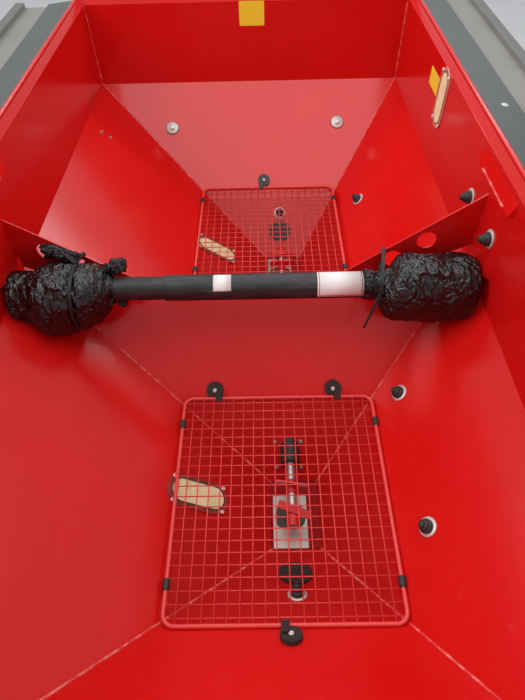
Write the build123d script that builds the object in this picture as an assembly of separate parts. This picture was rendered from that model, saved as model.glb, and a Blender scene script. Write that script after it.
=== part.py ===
from build123d import *
import math
import os

import numpy as np

# Twin-funnel hopper of a disc fertilizer spreader, in millimetres.
# X runs along the hopper, right-hand funnel at -X. -Y is the front, towards the tractor. +Z is up.
# It is drawn from the middle of the ridge, with z = 0 at the sieves, and moved on export so that the
# origin is the centre of the four frame bolts.

# Hopper shell: where each slope stands at the height of the sieve, and its angle from level.
FUNNEL_X = 530.0
END_REACH = 304.6
RIDGE_REACH = 303.5
FRONT_REACH = 276.0
REAR_REACH = 296.0
END_DEG = 38.5
RIDGE_DEG = 46.4
FRONT_DEG = 48.15
REAR_DEG = 34.5
FOLD_Z = 278.0
WALL_TOP_Z = 566.0
FLOOR_Z = -190.0
SHEET = 3.0
FIT_GAP = 0.3

# Rim: a flange bent outwards, ending in a round bead, on all four sides.
RIM_OUT = 16.0
RIM_UP = 26.0
RIM_BEAD_R = 6.5

# Grey covers along the two long sides, as (out from the wall, height).
COVER_SHEET = 2.5
COVER_INSET = 30.0
COVER_TOP_Z = 588.0
COVER_TOP_FALL = 10.0
COVER_TOP_WIDTH = 92.0
COVER_STEP = 10.0
COVER_PAN_WIDTH = 94.0
COVER_LIP_UP = 16.0
COVER_LIP_WIDTH = 26.0
COVER_SKIRT = 60.0
COVER_END_GAP = 20.0
HANGER_RISE = 4.0
HANGER_WIDTH = 60.0
HANGER_HEIGHT = 34.0
HANGER_COUNT = 4

# Stiffeners folded from sheet and welded to the long walls, which the gussets end at.
STIFFENER_HALF = 112.0
STIFFENER_FLARE = 14.0
STIFFENER_DEPTH = 14.5
STIFFENER_LOW_Z = 342.0
STIFFENER_HIGH_Z = 524.0

# Gusset plates standing on the ridge, with two round holes each.
GUSSET_SHEET = 4.0
GUSSET_HOLE_R = 25.0
GUSSET_HOLE_DROP = 46.0
GUSSET_HOLES = (160.0, 239.0)
FRONT_GUSSET_FOOT = 152.0
FRONT_GUSSET_HEIGHT = 265.0
REAR_GUSSET_FOOT = 368.0
REAR_GUSSET_HEIGHT = 218.5
GUSSET_EDGE = 151.0
GUSSET_UNDER_DEG = 25.6
GUSSET_SINK = 6.0

# Sieves: rim rod and mesh. The gaps run from the middle of the rod to the slopes.
SIEVE_GAP_RIDGE = 7.5
SIEVE_GAP_END = 8.6
SIEVE_GAP_FRONT = 11.0
SIEVE_GAP_REAR = 31.0
SIEVE_LEFT_SHIFT = 14.0
SIEVE_CORNER_R = 34.0
SIEVE_CORNER_STEPS = 4
SIEVE_ROD_R = 5.0
ROD_SIDES = 8
MESH_PITCH = 28.0
MESH_WIRE_R = 1.7
WIRE_SIDES = 6
WIRE_GAP = 0.2
SLEEVE_R = 8.5
SLEEVE_LENGTH = 24.0
SLEEVE_X = 210.0

# Clips that hold a sieve: a round body beside a tail that lies over the rod, in a gap of the mesh.
CLIP_R = 24.0
CLIP_HEIGHT = 11.0
CLIP_UP_SLOPE = 24.0
CLIP_GAPS = 6
CLIP_TAIL = 18.0
CLIP_BODY_SHIFT = 11.5
CLIP_TAIL_THICK = 4.5
CLIP_TAIL_PAST_ROD = 6.0
CLIP_ROD_SLOT = 7.5
CLIP_SIDES = 20
LATCH_UP_SLOPE = 31.0
LATCH_LEFT_GAP = 1

# Sight windows.
WINDOW_LENGTH = 180.0
WINDOW_WIDTH = 90.0
WINDOW_LIP = 14.0
WINDOW_THICK = 4.0
REAR_WINDOW_Z = -55.0
REAR_WINDOW_X = 500.0
FRONT_WINDOW_Z = 484.0
FRONT_WINDOW_X = 542.0

# Agitator, its bearing and its rubber boot.
SHAFT_Y = -32.0
SHAFT_Z = -118.0
SHAFT_R = 12.5
SHAFT_FIT = 0.08
SHAFT_TIP_X = 566.0
SHAFT_STUB_X = 222.0
SHAFT_HOLE_GAP = 4.0
BORE_PAST = 20.0
BEARING_FLANGE = 100.0
BEARING_FLANGE_THICK = 10.0
BEARING_R = 34.0
BEARING_END_X = 262.0
BOOT_R = 28.0
BOOT_LENGTH = 44.0
HUB_R = 16.5
HUB_START_X = 436.0
HUB_END_X = 474.0
TIP_R = 18.0
TIP_START_X = 514.0
BLADE_LENGTH = 90.0
BLADE_WIDTH = 22.0
BLADE_THICK = 5.0
BLADE_SINK = 1.5
# How far each blade is rolled round the shaft, leant over from flat, and turned in plan.
HUB_BLADE_X = 455.0
HUB_BLADE_TURN = (0.0, 78.0, -9.0)
TIP_BLADE_X = 526.0
TIP_BLADE_TURN = (12.0, 0.0, -17.0)

# Floor pan with its outlet, and the metering shutter below it. The slopes of the ridge and the front end
# in level flanges that lie on the pan.
PAN_SHEET = 3.0
PAN_LIP = 18.0
RIDGE_FLANGE = 38.0
FRONT_FLANGE = 31.0
OUTLET_LENGTH = 72.0
OUTLET_WIDTH = 84.0
OUTLET_CORNER_R = 30.0
OUTLET_SHIFT = 13.0
GUIDE_DEPTH = 6.0
GUIDE_LIP = 12.0
SHUTTER_SHEET = 4.0
SHUTTER_COVER = 12.0
SHUTTER_SIDE_GAP = 0.5
SHUTTER_TAB = 40.0
SHUTTER_TAB_WIDTH = 50.0
SHUTTER_EYE_R = 7.0
SHUTTER_EYE_INSET = 16.0

# Plug in the end slope, at the agitator's axis.
PLUG_R = 42.0
PLUG_THICK = 8.0

# Rubber-capped frame bolts, as (x, height) on the front slope and on the front wall.
# A cap has three steps, each with its radius and its length.
CAP_STEPS = ((16.5, 13.0), (12.5, 11.0), (8.0, 10.0))
CAP_SIDES = 12
WASHER_SIDES = 20
WASHER_R = 23.0
WASHER_THICK = 3.0
SLOPE_BOLT_Z = 60.0
WALL_BOLT = (87.0, 436.0)
END_BOLT_Z = -70.0

# Brackets that carry the hopper on the machine's frame, behind the bolts of the front slope.
BRACKET_X = (268.0, 640.0)
BRACKET_REACH = 206.3
BRACKET_WIDTH = 90.0
BRACKET_PLATE = 8.0
BRACKET_WEB_X = 32.0
BRACKET_LOW_Z = -50.0
BRACKET_HIGH_Z = 190.0
BOLT_SPACING_Z = 160.0
BOLT_HOLE_R = 8.5
MOUNT_Z = 70.0

# Drive shaft that is tied across the hopper, its ends wrapped in film bags.
DRIVE_X = -86.0
DRIVE_Z = 295.0
DRIVE_OUTER_R = 34.0
DRIVE_INNER_R = 30.5
DRIVE_FRONT_Y = 222.0
DRIVE_STEP_Y = 292.0
DRIVE_REAR_Y = 425.0
FILM_SIDES = 16
BAG_NECK_R = 41.0
BAG_SHOULDER = 26.0
FRONT_BELLY_R = 86.0
FRONT_END_R = 78.0
FRONT_BAG_END_GAP = 17.0
REAR_NECK_LENGTH = 14.0
REAR_BELLY_R = 98.0
REAR_WAIST_R = 78.0
REAR_LOBE_R = 70.0
REAR_BAG_END_GAP = 17.0
TIE_WIDTH = 9.0
TIE_THICK = 1.8
TIE_OFF_HOLE = 14.0
TIE_RISE = 1.2
TIE_PAST = 1.0


def run(angle):
    """Sideways reach of a slope for each millimetre of height."""
    return 1.0 / math.tan(math.radians(angle))


END_FOLD_X = FUNNEL_X + END_REACH + run(END_DEG) * FOLD_Z
FRONT_FOLD_Y = FRONT_REACH + run(FRONT_DEG) * FOLD_Z
REAR_FOLD_Y = REAR_REACH + run(REAR_DEG) * FOLD_Z
RIDGE_FOOT_X = FUNNEL_X - RIDGE_REACH
RIDGE_TOP_Z = RIDGE_FOOT_X / run(RIDGE_DEG)
BRACKET_FACE_Y = -(FRONT_REACH + run(FRONT_DEG) * MOUNT_Z + BRACKET_REACH)
WHOLE = 2 * END_FOLD_X

# The right-hand sieve's sides, along X and along Y, and how many wires run each way.
SIEVE_RIDGE_X = -(RIDGE_FOOT_X + SIEVE_GAP_RIDGE)
SIEVE_END_X = -(FUNNEL_X + END_REACH - SIEVE_GAP_END)
SIEVE_FRONT_Y = -(FRONT_REACH - SIEVE_GAP_FRONT)
SIEVE_REAR_Y = REAR_REACH - SIEVE_GAP_REAR
SIEVE_HALF_X = (SIEVE_RIDGE_X - SIEVE_END_X) / 2
SIEVE_HALF_Y = (SIEVE_REAR_Y - SIEVE_FRONT_Y) / 2
SIEVE_X = (SIEVE_RIDGE_X + SIEVE_END_X) / 2
SIEVE_Y = (SIEVE_REAR_Y + SIEVE_FRONT_Y) / 2
LONG_WIRES = 2 * int(SIEVE_HALF_Y / MESH_PITCH)
CROSS_WIRES = 2 * int(SIEVE_HALF_X / MESH_PITCH) + 1


class Side:
    """One flat face of the hopper's inside: outward normal, distance, and the sheet's thickness."""

    def __init__(self, normal, point, thick=SHEET):
        self.normal = np.array(normal, float) / np.linalg.norm(normal)
        self.offset = float(self.normal @ np.array(point, float))
        self.thick = thick


FRONT_SLOPE = Side((0, -1, -run(FRONT_DEG)), (0, -FRONT_REACH, 0))
REAR_SLOPE = Side((0, 1, -run(REAR_DEG)), (0, REAR_REACH, 0))
END_SLOPE = Side((-1, 0, -run(END_DEG)), (-FUNNEL_X - END_REACH, 0, 0))
RIDGE_SLOPE = Side((1, 0, -run(RIDGE_DEG)), (-RIDGE_FOOT_X, 0, 0))
FRONT_WALL = Side((0, -1, 0), (0, -FRONT_FOLD_Y, 0))
REAR_WALL = Side((0, 1, 0), (0, REAR_FOLD_Y, 0))
END_WALL = Side((-1, 0, 0), (-END_FOLD_X, 0, 0))
FAR_END_WALL = Side((1, 0, 0), (END_FOLD_X, 0, 0))
MIDDLE = Side((1, 0, 0), (0, 0, 0), 0)
FLOOR = Side((0, 0, -1), (0, 0, FLOOR_Z), 0)
RIM = Side((0, 0, 1), (0, 0, WALL_TOP_Z), 0)


def corner(sides, outer):
    """The point where three sides meet, on the inner or the outer faces."""
    normals = [side.normal for side in sides]
    offsets = [side.offset + (side.thick if outer else 0) for side in sides]
    return Vector(*np.linalg.solve(normals, offsets))


def panel(side, neighbours):
    """A flat sheet, mitred to the neighbours that surround it, given in order."""
    pairs = list(zip(neighbours, neighbours[1:] + neighbours[:1]))
    inner = [corner((side, a, b), False) for a, b in pairs]
    outer = [corner((side, a, b), True) for a, b in pairs]
    rings = [inner, outer]
    for i in range(len(pairs)):
        j = (i + 1) % len(pairs)
        rings.append([inner[i], inner[j], outer[j], outer[i]])
    faces = [Face(Wire.make_polygon(ring, close=True)) for ring in rings]
    return Solid(Shell(faces))


def on_side(side, x, y, z, lift=0.0, along=(1, 0, 0)):
    """A work plane on a side's inner face, its normal pointing into the hopper."""
    point = np.array((x, y, z), float)
    point += (side.offset - side.normal @ point) * side.normal
    point -= lift * side.normal
    inward = Vector(*(-side.normal))
    x_dir = Vector(*along)
    x_dir = x_dir - inward * x_dir.dot(inward)
    return Plane(origin=Vector(*point), x_dir=x_dir, z_dir=inward)


def behind(side, lift=0.0):
    """Everything on the outer side of a side's inner face, or of a plane lifted off it."""
    point = side.normal * side.offset
    along = (0, 1, 0) if abs(side.normal[0]) > 0 else (1, 0, 0)
    return on_side(side, *point, lift=lift, along=along) * (
        Pos(0, 0, -WHOLE / 2) * Box(2 * WHOLE, 2 * WHOLE, WHOLE))


def slope_y(reach, angle, z):
    return reach + run(angle) * z


def ridge_x(z):
    """Distance of the ridge slope's inner face from the middle plane at a height."""
    return RIDGE_FOOT_X - run(RIDGE_DEG) * z


def mirrored(shape):
    return mirror(shape, about=Plane.YZ)


def folded_sheet(points, thick):
    """The outline of a sheet folded along the points, its thickness on their left."""
    points = [np.array(p, float) for p in points]
    left = []
    for i, point in enumerate(points):
        before = point - points[i - 1] if i > 0 else points[1] - point
        after = points[i + 1] - point if i + 1 < len(points) else before
        if i == 0:
            before = after
        normals = [np.array((-d[1], d[0])) / np.linalg.norm(d) for d in (before, after)]
        middle = normals[0] + normals[1]
        left.append(point + middle * thick / (middle @ normals[0]))
    outline = points + left[::-1]
    return make_face(Polyline(*[tuple(p) for p in outline], close=True))


def window_outline(lip):
    return SlotOverall(WINDOW_LENGTH - 2 * lip, WINDOW_WIDTH - 2 * lip)


# Where the windows lie, right-hand side: the side, and a work plane along the long axis.
REAR_WINDOW = on_side(REAR_SLOPE, -REAR_WINDOW_X,
                      slope_y(REAR_REACH, REAR_DEG, REAR_WINDOW_Z), REAR_WINDOW_Z, along=(0, 1, 0))
FRONT_WINDOW = on_side(FRONT_WALL, -FRONT_WINDOW_X, 0, FRONT_WINDOW_Z, along=(0, 0, 1))


def floor_box():
    """Corners of the throat at the floor: low x, high x, low y, high y, right-hand side."""
    low_x = -(FUNNEL_X + END_REACH + run(END_DEG) * FLOOR_Z)
    high_x = -ridge_x(FLOOR_Z)
    low_y = -slope_y(FRONT_REACH, FRONT_DEG, FLOOR_Z)
    high_y = slope_y(REAR_REACH, REAR_DEG, FLOOR_Z)
    return low_x, high_x, low_y, high_y


def level_flange(low_x, high_x, low_y, high_y):
    """A strip of sheet that lies on the floor pan."""
    strip = Box(high_x - low_x, high_y - low_y, SHEET)
    return Pos((low_x + high_x) / 2, (low_y + high_y) / 2, FLOOR_Z + SHEET / 2) * strip


def shell_panels():
    """The twelve flat sheets of the hopper."""
    low_x, high_x, low_y, high_y = floor_box()
    seam = SHEET / 2
    window_cut = REAR_WINDOW * extrude(window_outline(WINDOW_LIP), amount=3 * SHEET, both=True)
    rear_right = panel(REAR_SLOPE, [MIDDLE, REAR_WALL, END_SLOPE, FLOOR, RIDGE_SLOPE]) - window_cut
    front_right = panel(FRONT_SLOPE, [MIDDLE, FRONT_WALL, END_SLOPE, FLOOR, RIDGE_SLOPE])
    front_right += level_flange(low_x, high_x, low_y - seam, low_y + FRONT_FLANGE)
    shaft_hole = Pos(-ridge_x(SHAFT_Z), SHAFT_Y, SHAFT_Z) * Rot(0, 90, 0) * Cylinder(
        SHAFT_R + SHAFT_HOLE_GAP, BEARING_FLANGE)
    ridge_right = panel(RIDGE_SLOPE, [MIDDLE, FRONT_SLOPE, FLOOR, REAR_SLOPE]) - shaft_hole
    ridge_right += level_flange(high_x - RIDGE_FLANGE, high_x + seam, low_y + FRONT_FLANGE, high_y)
    end_right = panel(END_SLOPE, [END_WALL, FRONT_SLOPE, FLOOR, REAR_SLOPE])
    wall_cut = FRONT_WINDOW * extrude(window_outline(WINDOW_LIP), amount=3 * SHEET, both=True)
    front_wall = panel(FRONT_WALL, [RIM, END_WALL, FRONT_SLOPE, FAR_END_WALL])
    end_wall_right = panel(END_WALL, [RIM, FRONT_WALL, END_SLOPE, REAR_WALL])
    return {
        "rear_slope_right": rear_right,
        "rear_slope_left": mirrored(rear_right),
        "front_slope_right": front_right,
        "front_slope_left": mirrored(front_right),
        "ridge_slope_right": ridge_right,
        "ridge_slope_left": mirrored(ridge_right),
        "end_slope_right": end_right,
        "end_slope_left": mirrored(end_right),
        "front_wall": front_wall - wall_cut - mirrored(wall_cut),
        "rear_wall": panel(REAR_WALL, [RIM, END_WALL, REAR_SLOPE, FAR_END_WALL]),
        "end_wall_right": end_wall_right,
        "end_wall_left": mirrored(end_wall_right),
    }


def rim_profile():
    """Section of the rim, x outwards from the wall's inner face."""
    flange = folded_sheet([(SHEET, 0), (RIM_OUT + SHEET, RIM_UP)], SHEET)
    foot = make_face(Polyline((0, 0), (SHEET, 0), (SHEET, SHEET), (0, SHEET), close=True))
    bead = Pos(RIM_OUT + SHEET, RIM_UP) * Circle(RIM_BEAD_R)
    return flange + foot + bead


def rims():
    """The rim on each side, mitred at the corners."""
    section = rim_profile()
    reach = RIM_OUT + SHEET + 2 * RIM_BEAD_R
    corners = [(-END_FOLD_X, -FRONT_FOLD_Y), (END_FOLD_X, -FRONT_FOLD_Y),
               (END_FOLD_X, REAR_FOLD_Y), (-END_FOLD_X, REAR_FOLD_Y)]
    names = ["rim_front", "rim_left", "rim_rear", "rim_right"]
    made = {}
    for i, name in enumerate(names):
        a, b = Vector(*corners[i], 0), Vector(*corners[(i + 1) % 4], 0)
        along = (b - a).normalized()
        outward = Vector(along.Y, -along.X, 0)
        length = (b - a).length
        plane = Plane(origin=a - along * reach + Vector(0, 0, WALL_TOP_Z), x_dir=outward, z_dir=-along)
        bar = extrude(plane * section, amount=-(length + 2 * reach))
        keep = make_face(Polyline(a, b, b + (outward + along) * reach, a + (outward - along) * reach,
                                  close=True))
        made[name] = bar & extrude(Pos(0, 0, WALL_TOP_Z - reach) * keep, amount=RIM_UP + 2 * reach)
    return made


def cover_points():
    """Fold line of a grey side cover, as (out from the wall's inner face, height)."""
    x, z = COVER_INSET, COVER_TOP_Z
    points = [(x, z - COVER_SKIRT), (x, z)]
    x, z = x + COVER_TOP_WIDTH, z - COVER_TOP_FALL
    points.append((x, z))
    z -= COVER_STEP
    points.append((x, z))
    x += COVER_PAN_WIDTH
    points.append((x, z))
    z += COVER_LIP_UP
    points.append((x, z))
    x += COVER_LIP_WIDTH
    points += [(x, z), (x, z - COVER_SKIRT)]
    return points


def covers():
    """The two grey side covers and the hangers that hold them off the walls."""
    section = folded_sheet(cover_points(), COVER_SHEET)
    length = 2 * (END_FOLD_X - COVER_END_GAP)
    crown = COVER_INSET - 2 * COVER_SHEET
    hanger = folded_sheet([(-HANGER_WIDTH / 2, SHEET), (-HANGER_WIDTH / 4, SHEET),
                           (-HANGER_WIDTH / 4, crown), (HANGER_WIDTH / 4, crown),
                           (HANGER_WIDTH / 4, SHEET), (HANGER_WIDTH / 2, SHEET)], COVER_SHEET)
    low = COVER_TOP_Z - COVER_SKIRT + HANGER_RISE
    made = {}
    for name, wall_y, out in [("front", -FRONT_FOLD_Y, -1), ("rear", REAR_FOLD_Y, 1)]:
        upright = Plane(origin=(0, wall_y, 0), x_dir=(0, out, 0), z_dir=(out, 0, 0))
        made["side_cover_" + name] = extrude(upright * section, amount=length / 2, both=True)
        level = Plane(origin=(0, wall_y, low), x_dir=(out, 0, 0), z_dir=(0, 0, 1))
        bars = []
        for i in range(HANGER_COUNT):
            x = (i - (HANGER_COUNT - 1) / 2) * length / HANGER_COUNT
            bars.append(extrude(level * (Pos(x, 0) * hanger), amount=HANGER_HEIGHT))
        made["cover_hangers_" + name] = Compound(children=bars)
    return made


def stiffener(wall_y):
    """Shallow folded channel on a long wall, in the middle plane."""
    out = math.copysign(1.0, wall_y)
    crown = STIFFENER_DEPTH - SHEET
    foot = STIFFENER_HALF + STIFFENER_FLARE * (1 + SHEET / crown)
    section = folded_sheet([(-foot, -SHEET), (-STIFFENER_HALF, crown),
                            (STIFFENER_HALF, crown), (foot, -SHEET)], SHEET)
    section &= Pos(0, STIFFENER_DEPTH / 2) * Rectangle(4 * STIFFENER_HALF, STIFFENER_DEPTH)
    level = Plane(origin=(0, wall_y, STIFFENER_LOW_Z), x_dir=(-out, 0, 0), z_dir=(0, 0, 1))
    return extrude(level * section, amount=STIFFENER_HIGH_Z - STIFFENER_LOW_Z)


def ridge_cutter():
    """The space under the ridge's top surface."""
    foot = ridge_x(0)
    outline = Polyline((0, RIDGE_TOP_Z), (-foot, 0), (foot, 0), close=True)
    return extrude(Plane.XZ * make_face(outline), amount=WHOLE, both=True)


def gusset_edge(end, foot, height, y):
    """Height of the plate's sloping edge at a distance from the middle plane."""
    return RIDGE_TOP_Z + height * (y - foot) / (end - foot)


def gusset_hole_z(end, foot, height, y):
    return gusset_edge(end, foot, height, y) - GUSSET_HOLE_DROP


def gusset(end_y, foot, height):
    """A plate in the middle plane: from its foot on the ridge up to the wall's stiffener."""
    out = math.copysign(1.0, end_y)
    end = abs(end_y)
    low = RIDGE_TOP_Z - GUSSET_SINK
    top = RIDGE_TOP_Z + height
    relief = end - (height - GUSSET_EDGE) * run(GUSSET_UNDER_DEG)
    outline = [(foot, RIDGE_TOP_Z), (end, top), (end, top - GUSSET_EDGE),
               (relief, RIDGE_TOP_Z), (relief, low), (foot, low)]
    plate = make_face(Polyline(*[(out * y, z) for y, z in outline], close=True))
    for past_foot in GUSSET_HOLES:
        y = foot + past_foot
        plate -= Pos(out * y, gusset_hole_z(end, foot, height, y)) * Circle(GUSSET_HOLE_R)
    return extrude(Plane.YZ * plate, amount=GUSSET_SHEET / 2, both=True) - ridge_cutter()


def bar(sides, radius, length):
    """A straight bar along X with flats."""
    outline = RegularPolygon(radius, sides, rotation=180 / sides)
    return Rot(0, 90, 0) * extrude(outline, amount=length / 2, both=True)


def rod_path():
    """The rim rod's centre line, from the middle of one side, its corners in short steps."""
    points = [(SIEVE_HALF_X, 0)]
    for turn, (side_x, side_y) in enumerate([(1, 1), (-1, 1), (-1, -1), (1, -1)]):
        for i in range(SIEVE_CORNER_STEPS + 1):
            angle = math.radians(90 * (turn + i / SIEVE_CORNER_STEPS))
            points.append((side_x * (SIEVE_HALF_X - SIEVE_CORNER_R) + SIEVE_CORNER_R * math.cos(angle),
                           side_y * (SIEVE_HALF_Y - SIEVE_CORNER_R) + SIEVE_CORNER_R * math.sin(angle)))
    return Polyline(*points, close=True)


def sieve():
    """Right-hand sieve: bent rim rod with the mesh wires welded across."""
    start = Plane(origin=(SIEVE_HALF_X, 0, 0), x_dir=(1, 0, 0), z_dir=(0, 1, 0))
    section = RegularPolygon(SIEVE_ROD_R, ROD_SIDES, rotation=180 / ROD_SIDES)
    rod = sweep(start * section, path=rod_path(), transition=Transition.RIGHT)
    lift = MESH_WIRE_R + WIRE_GAP / 2
    long_wire = bar(WIRE_SIDES, MESH_WIRE_R, 2 * SIEVE_HALF_X)
    cross_wire = Rot(0, 0, 90) * bar(WIRE_SIDES, MESH_WIRE_R, 2 * SIEVE_HALF_Y)
    wires = []
    for i in range(LONG_WIRES):
        wires.append(Pos(0, (i - (LONG_WIRES - 1) / 2) * MESH_PITCH, lift) * long_wire)
    for i in range(CROSS_WIRES):
        wires.append(Pos((i - (CROSS_WIRES - 1) / 2) * MESH_PITCH, 0, -lift) * cross_wire)
    return Pos(SIEVE_X, SIEVE_Y, 0) * (rod + wires)


def sleeves():
    """Rubber sleeves pushed on the two side rods, outside the first mesh wires."""
    bore = bar(ROD_SIDES, SIEVE_ROD_R + SHAFT_FIT, 2 * SLEEVE_LENGTH)
    tube = bar(ROD_SIDES, SLEEVE_R, SLEEVE_LENGTH) - bore
    made = []
    for x in (-SLEEVE_X, SLEEVE_X):
        for y in (-SIEVE_HALF_Y, SIEVE_HALF_Y):
            made.append(Pos(SIEVE_X + x, SIEVE_Y + y, 0) * tube)
    return Compound(children=made)


def clip(side, rod_x, y, down, up_slope, lift):
    """A round clip body on a side's face, cut straight above the rod, and its tail over the rod."""
    down = np.array(down) / np.linalg.norm(down)
    at = np.array((rod_x, y, 0)) - down * up_slope
    plane = on_side(side, *at, lift=lift, along=tuple(down))
    disc = Pos(0, -CLIP_BODY_SHIFT, 0) * RegularPolygon(CLIP_R, CLIP_SIDES)
    keep = Pos(up_slope - CLIP_ROD_SLOT - CLIP_R, -CLIP_BODY_SHIFT) * Rectangle(2 * CLIP_R, 2 * CLIP_R)
    body = extrude(disc & keep, amount=CLIP_HEIGHT)
    reach = up_slope + CLIP_TAIL_PAST_ROD
    tail = Pos(reach / 2, 0, CLIP_HEIGHT + CLIP_TAIL_THICK / 2) * Box(reach, CLIP_TAIL, CLIP_TAIL_THICK)
    return plane * (body + tail)


def ridge_clips():
    """The two clips in which the ridge-side rod turns."""
    down = (-run(RIDGE_DEG), 0, -1.0)
    made = []
    for gaps in (-CLIP_GAPS, CLIP_GAPS):
        y = SIEVE_Y + gaps * MESH_PITCH
        made.append(clip(RIDGE_SLOPE, SIEVE_RIDGE_X, y, down, CLIP_UP_SLOPE, 0.0))
    return Compound(children=made)


def latch():
    """The clip at the end side, which is carried by the sieve and screwed to the end slope."""
    down = (run(END_DEG), 0, -1.0)
    made = clip(END_SLOPE, SIEVE_END_X, SIEVE_Y, down, LATCH_UP_SLOPE, FIT_GAP)
    rod = Rot(0, 0, 90) * bar(ROD_SIDES, SIEVE_ROD_R + SHAFT_FIT, 2 * SIEVE_HALF_Y)
    return made - Pos(SIEVE_END_X, SIEVE_Y, 0) * rod


def windows():
    """Clear plates over the sight openings, right-hand side."""
    plate = extrude(window_outline(0), amount=WINDOW_THICK)
    return [REAR_WINDOW * plate, FRONT_WINDOW * plate]


def outlet_middle():
    """Centre of the outlet, beside the middle of the floor that the flanges leave open."""
    low_x, high_x, low_y, high_y = floor_box()
    return (low_x + high_x - RIDGE_FLANGE) / 2 + OUTLET_SHIFT, (low_y + FRONT_FLANGE + high_y) / 2


def floor_pan():
    """Stainless pan under the right-hand throat, with the guides of its shutter."""
    low_x, high_x, low_y, high_y = floor_box()
    width = high_y - low_y + 2 * PAN_LIP
    length = high_x - low_x + 2 * PAN_LIP
    middle = Vector((low_x + high_x) / 2, (low_y + high_y) / 2, FLOOR_Z)
    depth = PAN_SHEET + GUIDE_DEPTH + PAN_SHEET
    outer = Pos(0, 0, -depth / 2) * Box(length, width, depth)
    inner = Pos(0, 0, -PAN_SHEET - GUIDE_DEPTH / 2) * Box(length, width - 2 * PAN_SHEET, GUIDE_DEPTH)
    gap = Pos(0, 0, -depth) * Box(length, width - 2 * PAN_SHEET - 2 * GUIDE_LIP, 2 * PAN_SHEET)
    hole = extrude(RectangleRounded(OUTLET_LENGTH, OUTLET_WIDTH, OUTLET_CORNER_R), amount=depth, both=True)
    return Location(middle) * (outer - inner - gap) - Pos(*outlet_middle(), FLOOR_Z) * hole


def shutter():
    """Plate that slides in the pan's guides, along X away from the ridge."""
    low_x, high_x, low_y, high_y = floor_box()
    width = high_y - low_y + 2 * (PAN_LIP - PAN_SHEET - SHUTTER_SIDE_GAP)
    length = OUTLET_LENGTH + 2 * SHUTTER_COVER
    middle = Vector(outlet_middle()[0], (low_y + high_y) / 2, FLOOR_Z - PAN_SHEET - GUIDE_DEPTH / 2)
    plate = Box(length, width, SHUTTER_SHEET)
    tab = Pos(-(length + SHUTTER_TAB) / 2, 0) * Box(SHUTTER_TAB, SHUTTER_TAB_WIDTH, SHUTTER_SHEET)
    eye = Pos(-length / 2 - SHUTTER_TAB + SHUTTER_EYE_INSET, 0) * Cylinder(SHUTTER_EYE_R, 2 * SHUTTER_SHEET)
    return Location(middle) * (plate + tab - eye)


def along_x(start, end, radius):
    """A round bar on the agitator's axis, between two distances from the middle plane."""
    return Pos(-(start + end) / 2, SHAFT_Y, SHAFT_Z) * Rot(0, 90, 0) * Cylinder(radius, end - start)


def agitator_shaft():
    return along_x(SHAFT_STUB_X, SHAFT_TIP_X, SHAFT_R)


def agitator_star():
    """Red hub and end piece on the right-hand shaft, each with a flat blade welded across."""
    bore = along_x(HUB_START_X - BORE_PAST, SHAFT_TIP_X + BORE_PAST, SHAFT_R)
    made = []
    for start, end, radius, middle, (roll, lean, yaw) in [
            (HUB_START_X, HUB_END_X, HUB_R, HUB_BLADE_X, HUB_BLADE_TURN),
            (TIP_START_X, SHAFT_TIP_X, TIP_R, TIP_BLADE_X, TIP_BLADE_TURN)]:
        tall = (BLADE_THICK + (BLADE_WIDTH - BLADE_THICK) * math.sin(math.radians(lean))) / 2
        blade = Pos(0, 0, radius - BLADE_SINK + tall) * Rot(0, 0, yaw) * Rot(0, lean, 0) * Box(
            BLADE_WIDTH, BLADE_LENGTH, BLADE_THICK)
        at = Pos(-middle, SHAFT_Y, SHAFT_Z) * Rot(roll, 0, 0)
        made.append(along_x(start, end, radius) + at * blade - bore)
    return Compound(children=made)


def bearing():
    """Flanged bearing on the underside of the ridge, with a level bore."""
    at = (-ridge_x(SHAFT_Z), SHAFT_Y, SHAFT_Z)
    plane = on_side(RIDGE_SLOPE, *at, lift=-SHEET - BEARING_FLANGE_THICK / 2, along=(0, 1, 0))
    flange = plane * Box(BEARING_FLANGE, BEARING_FLANGE, BEARING_FLANGE_THICK)
    barrel = along_x(BEARING_END_X, ridge_x(SHAFT_Z) + BEARING_R, BEARING_R) & behind(RIDGE_SLOPE, -SHEET)
    bore = along_x(SHAFT_STUB_X, ridge_x(SHAFT_Z) + BEARING_R, SHAFT_R + SHAFT_FIT)
    return flange + barrel - bore


def boot():
    """Rubber boot around the shaft, on the ridge's inner face."""
    start = ridge_x(SHAFT_Z) - 2 * BOOT_R
    end = ridge_x(SHAFT_Z) + BOOT_LENGTH
    bore = along_x(start - BORE_PAST, end + BORE_PAST, SHAFT_R + FIT_GAP)
    return along_x(start, end, BOOT_R) - behind(RIDGE_SLOPE) - bore


def end_plug():
    """Round plug in the end slope, level with the agitator's axis."""
    plane = on_side(END_SLOPE, -(FUNNEL_X + END_REACH + run(END_DEG) * SHAFT_Z), SHAFT_Y, SHAFT_Z)
    return plane * (Pos(0, 0, PLUG_THICK / 2) * Cylinder(PLUG_R, PLUG_THICK))


def bolt_planes():
    """Work planes of the capped bolts, right-hand side."""
    planes = []
    for x in BRACKET_X:
        y = -slope_y(FRONT_REACH, FRONT_DEG, SLOPE_BOLT_Z)
        planes.append(on_side(FRONT_SLOPE, -x, y, SLOPE_BOLT_Z))
    planes.append(on_side(FRONT_WALL, -WALL_BOLT[0], 0, WALL_BOLT[1], lift=STIFFENER_DEPTH))
    end_x = -(FUNNEL_X + END_REACH + run(END_DEG) * END_BOLT_Z)
    planes.append(on_side(END_SLOPE, end_x, SHAFT_Y, END_BOLT_Z, along=(0, 1, 0)))
    return planes


def washers():
    disc = extrude(RegularPolygon(WASHER_R, WASHER_SIDES), amount=WASHER_THICK)
    made = [plane * disc for plane in bolt_planes()]
    return Compound(children=made + [mirrored(disc) for disc in made])


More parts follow.
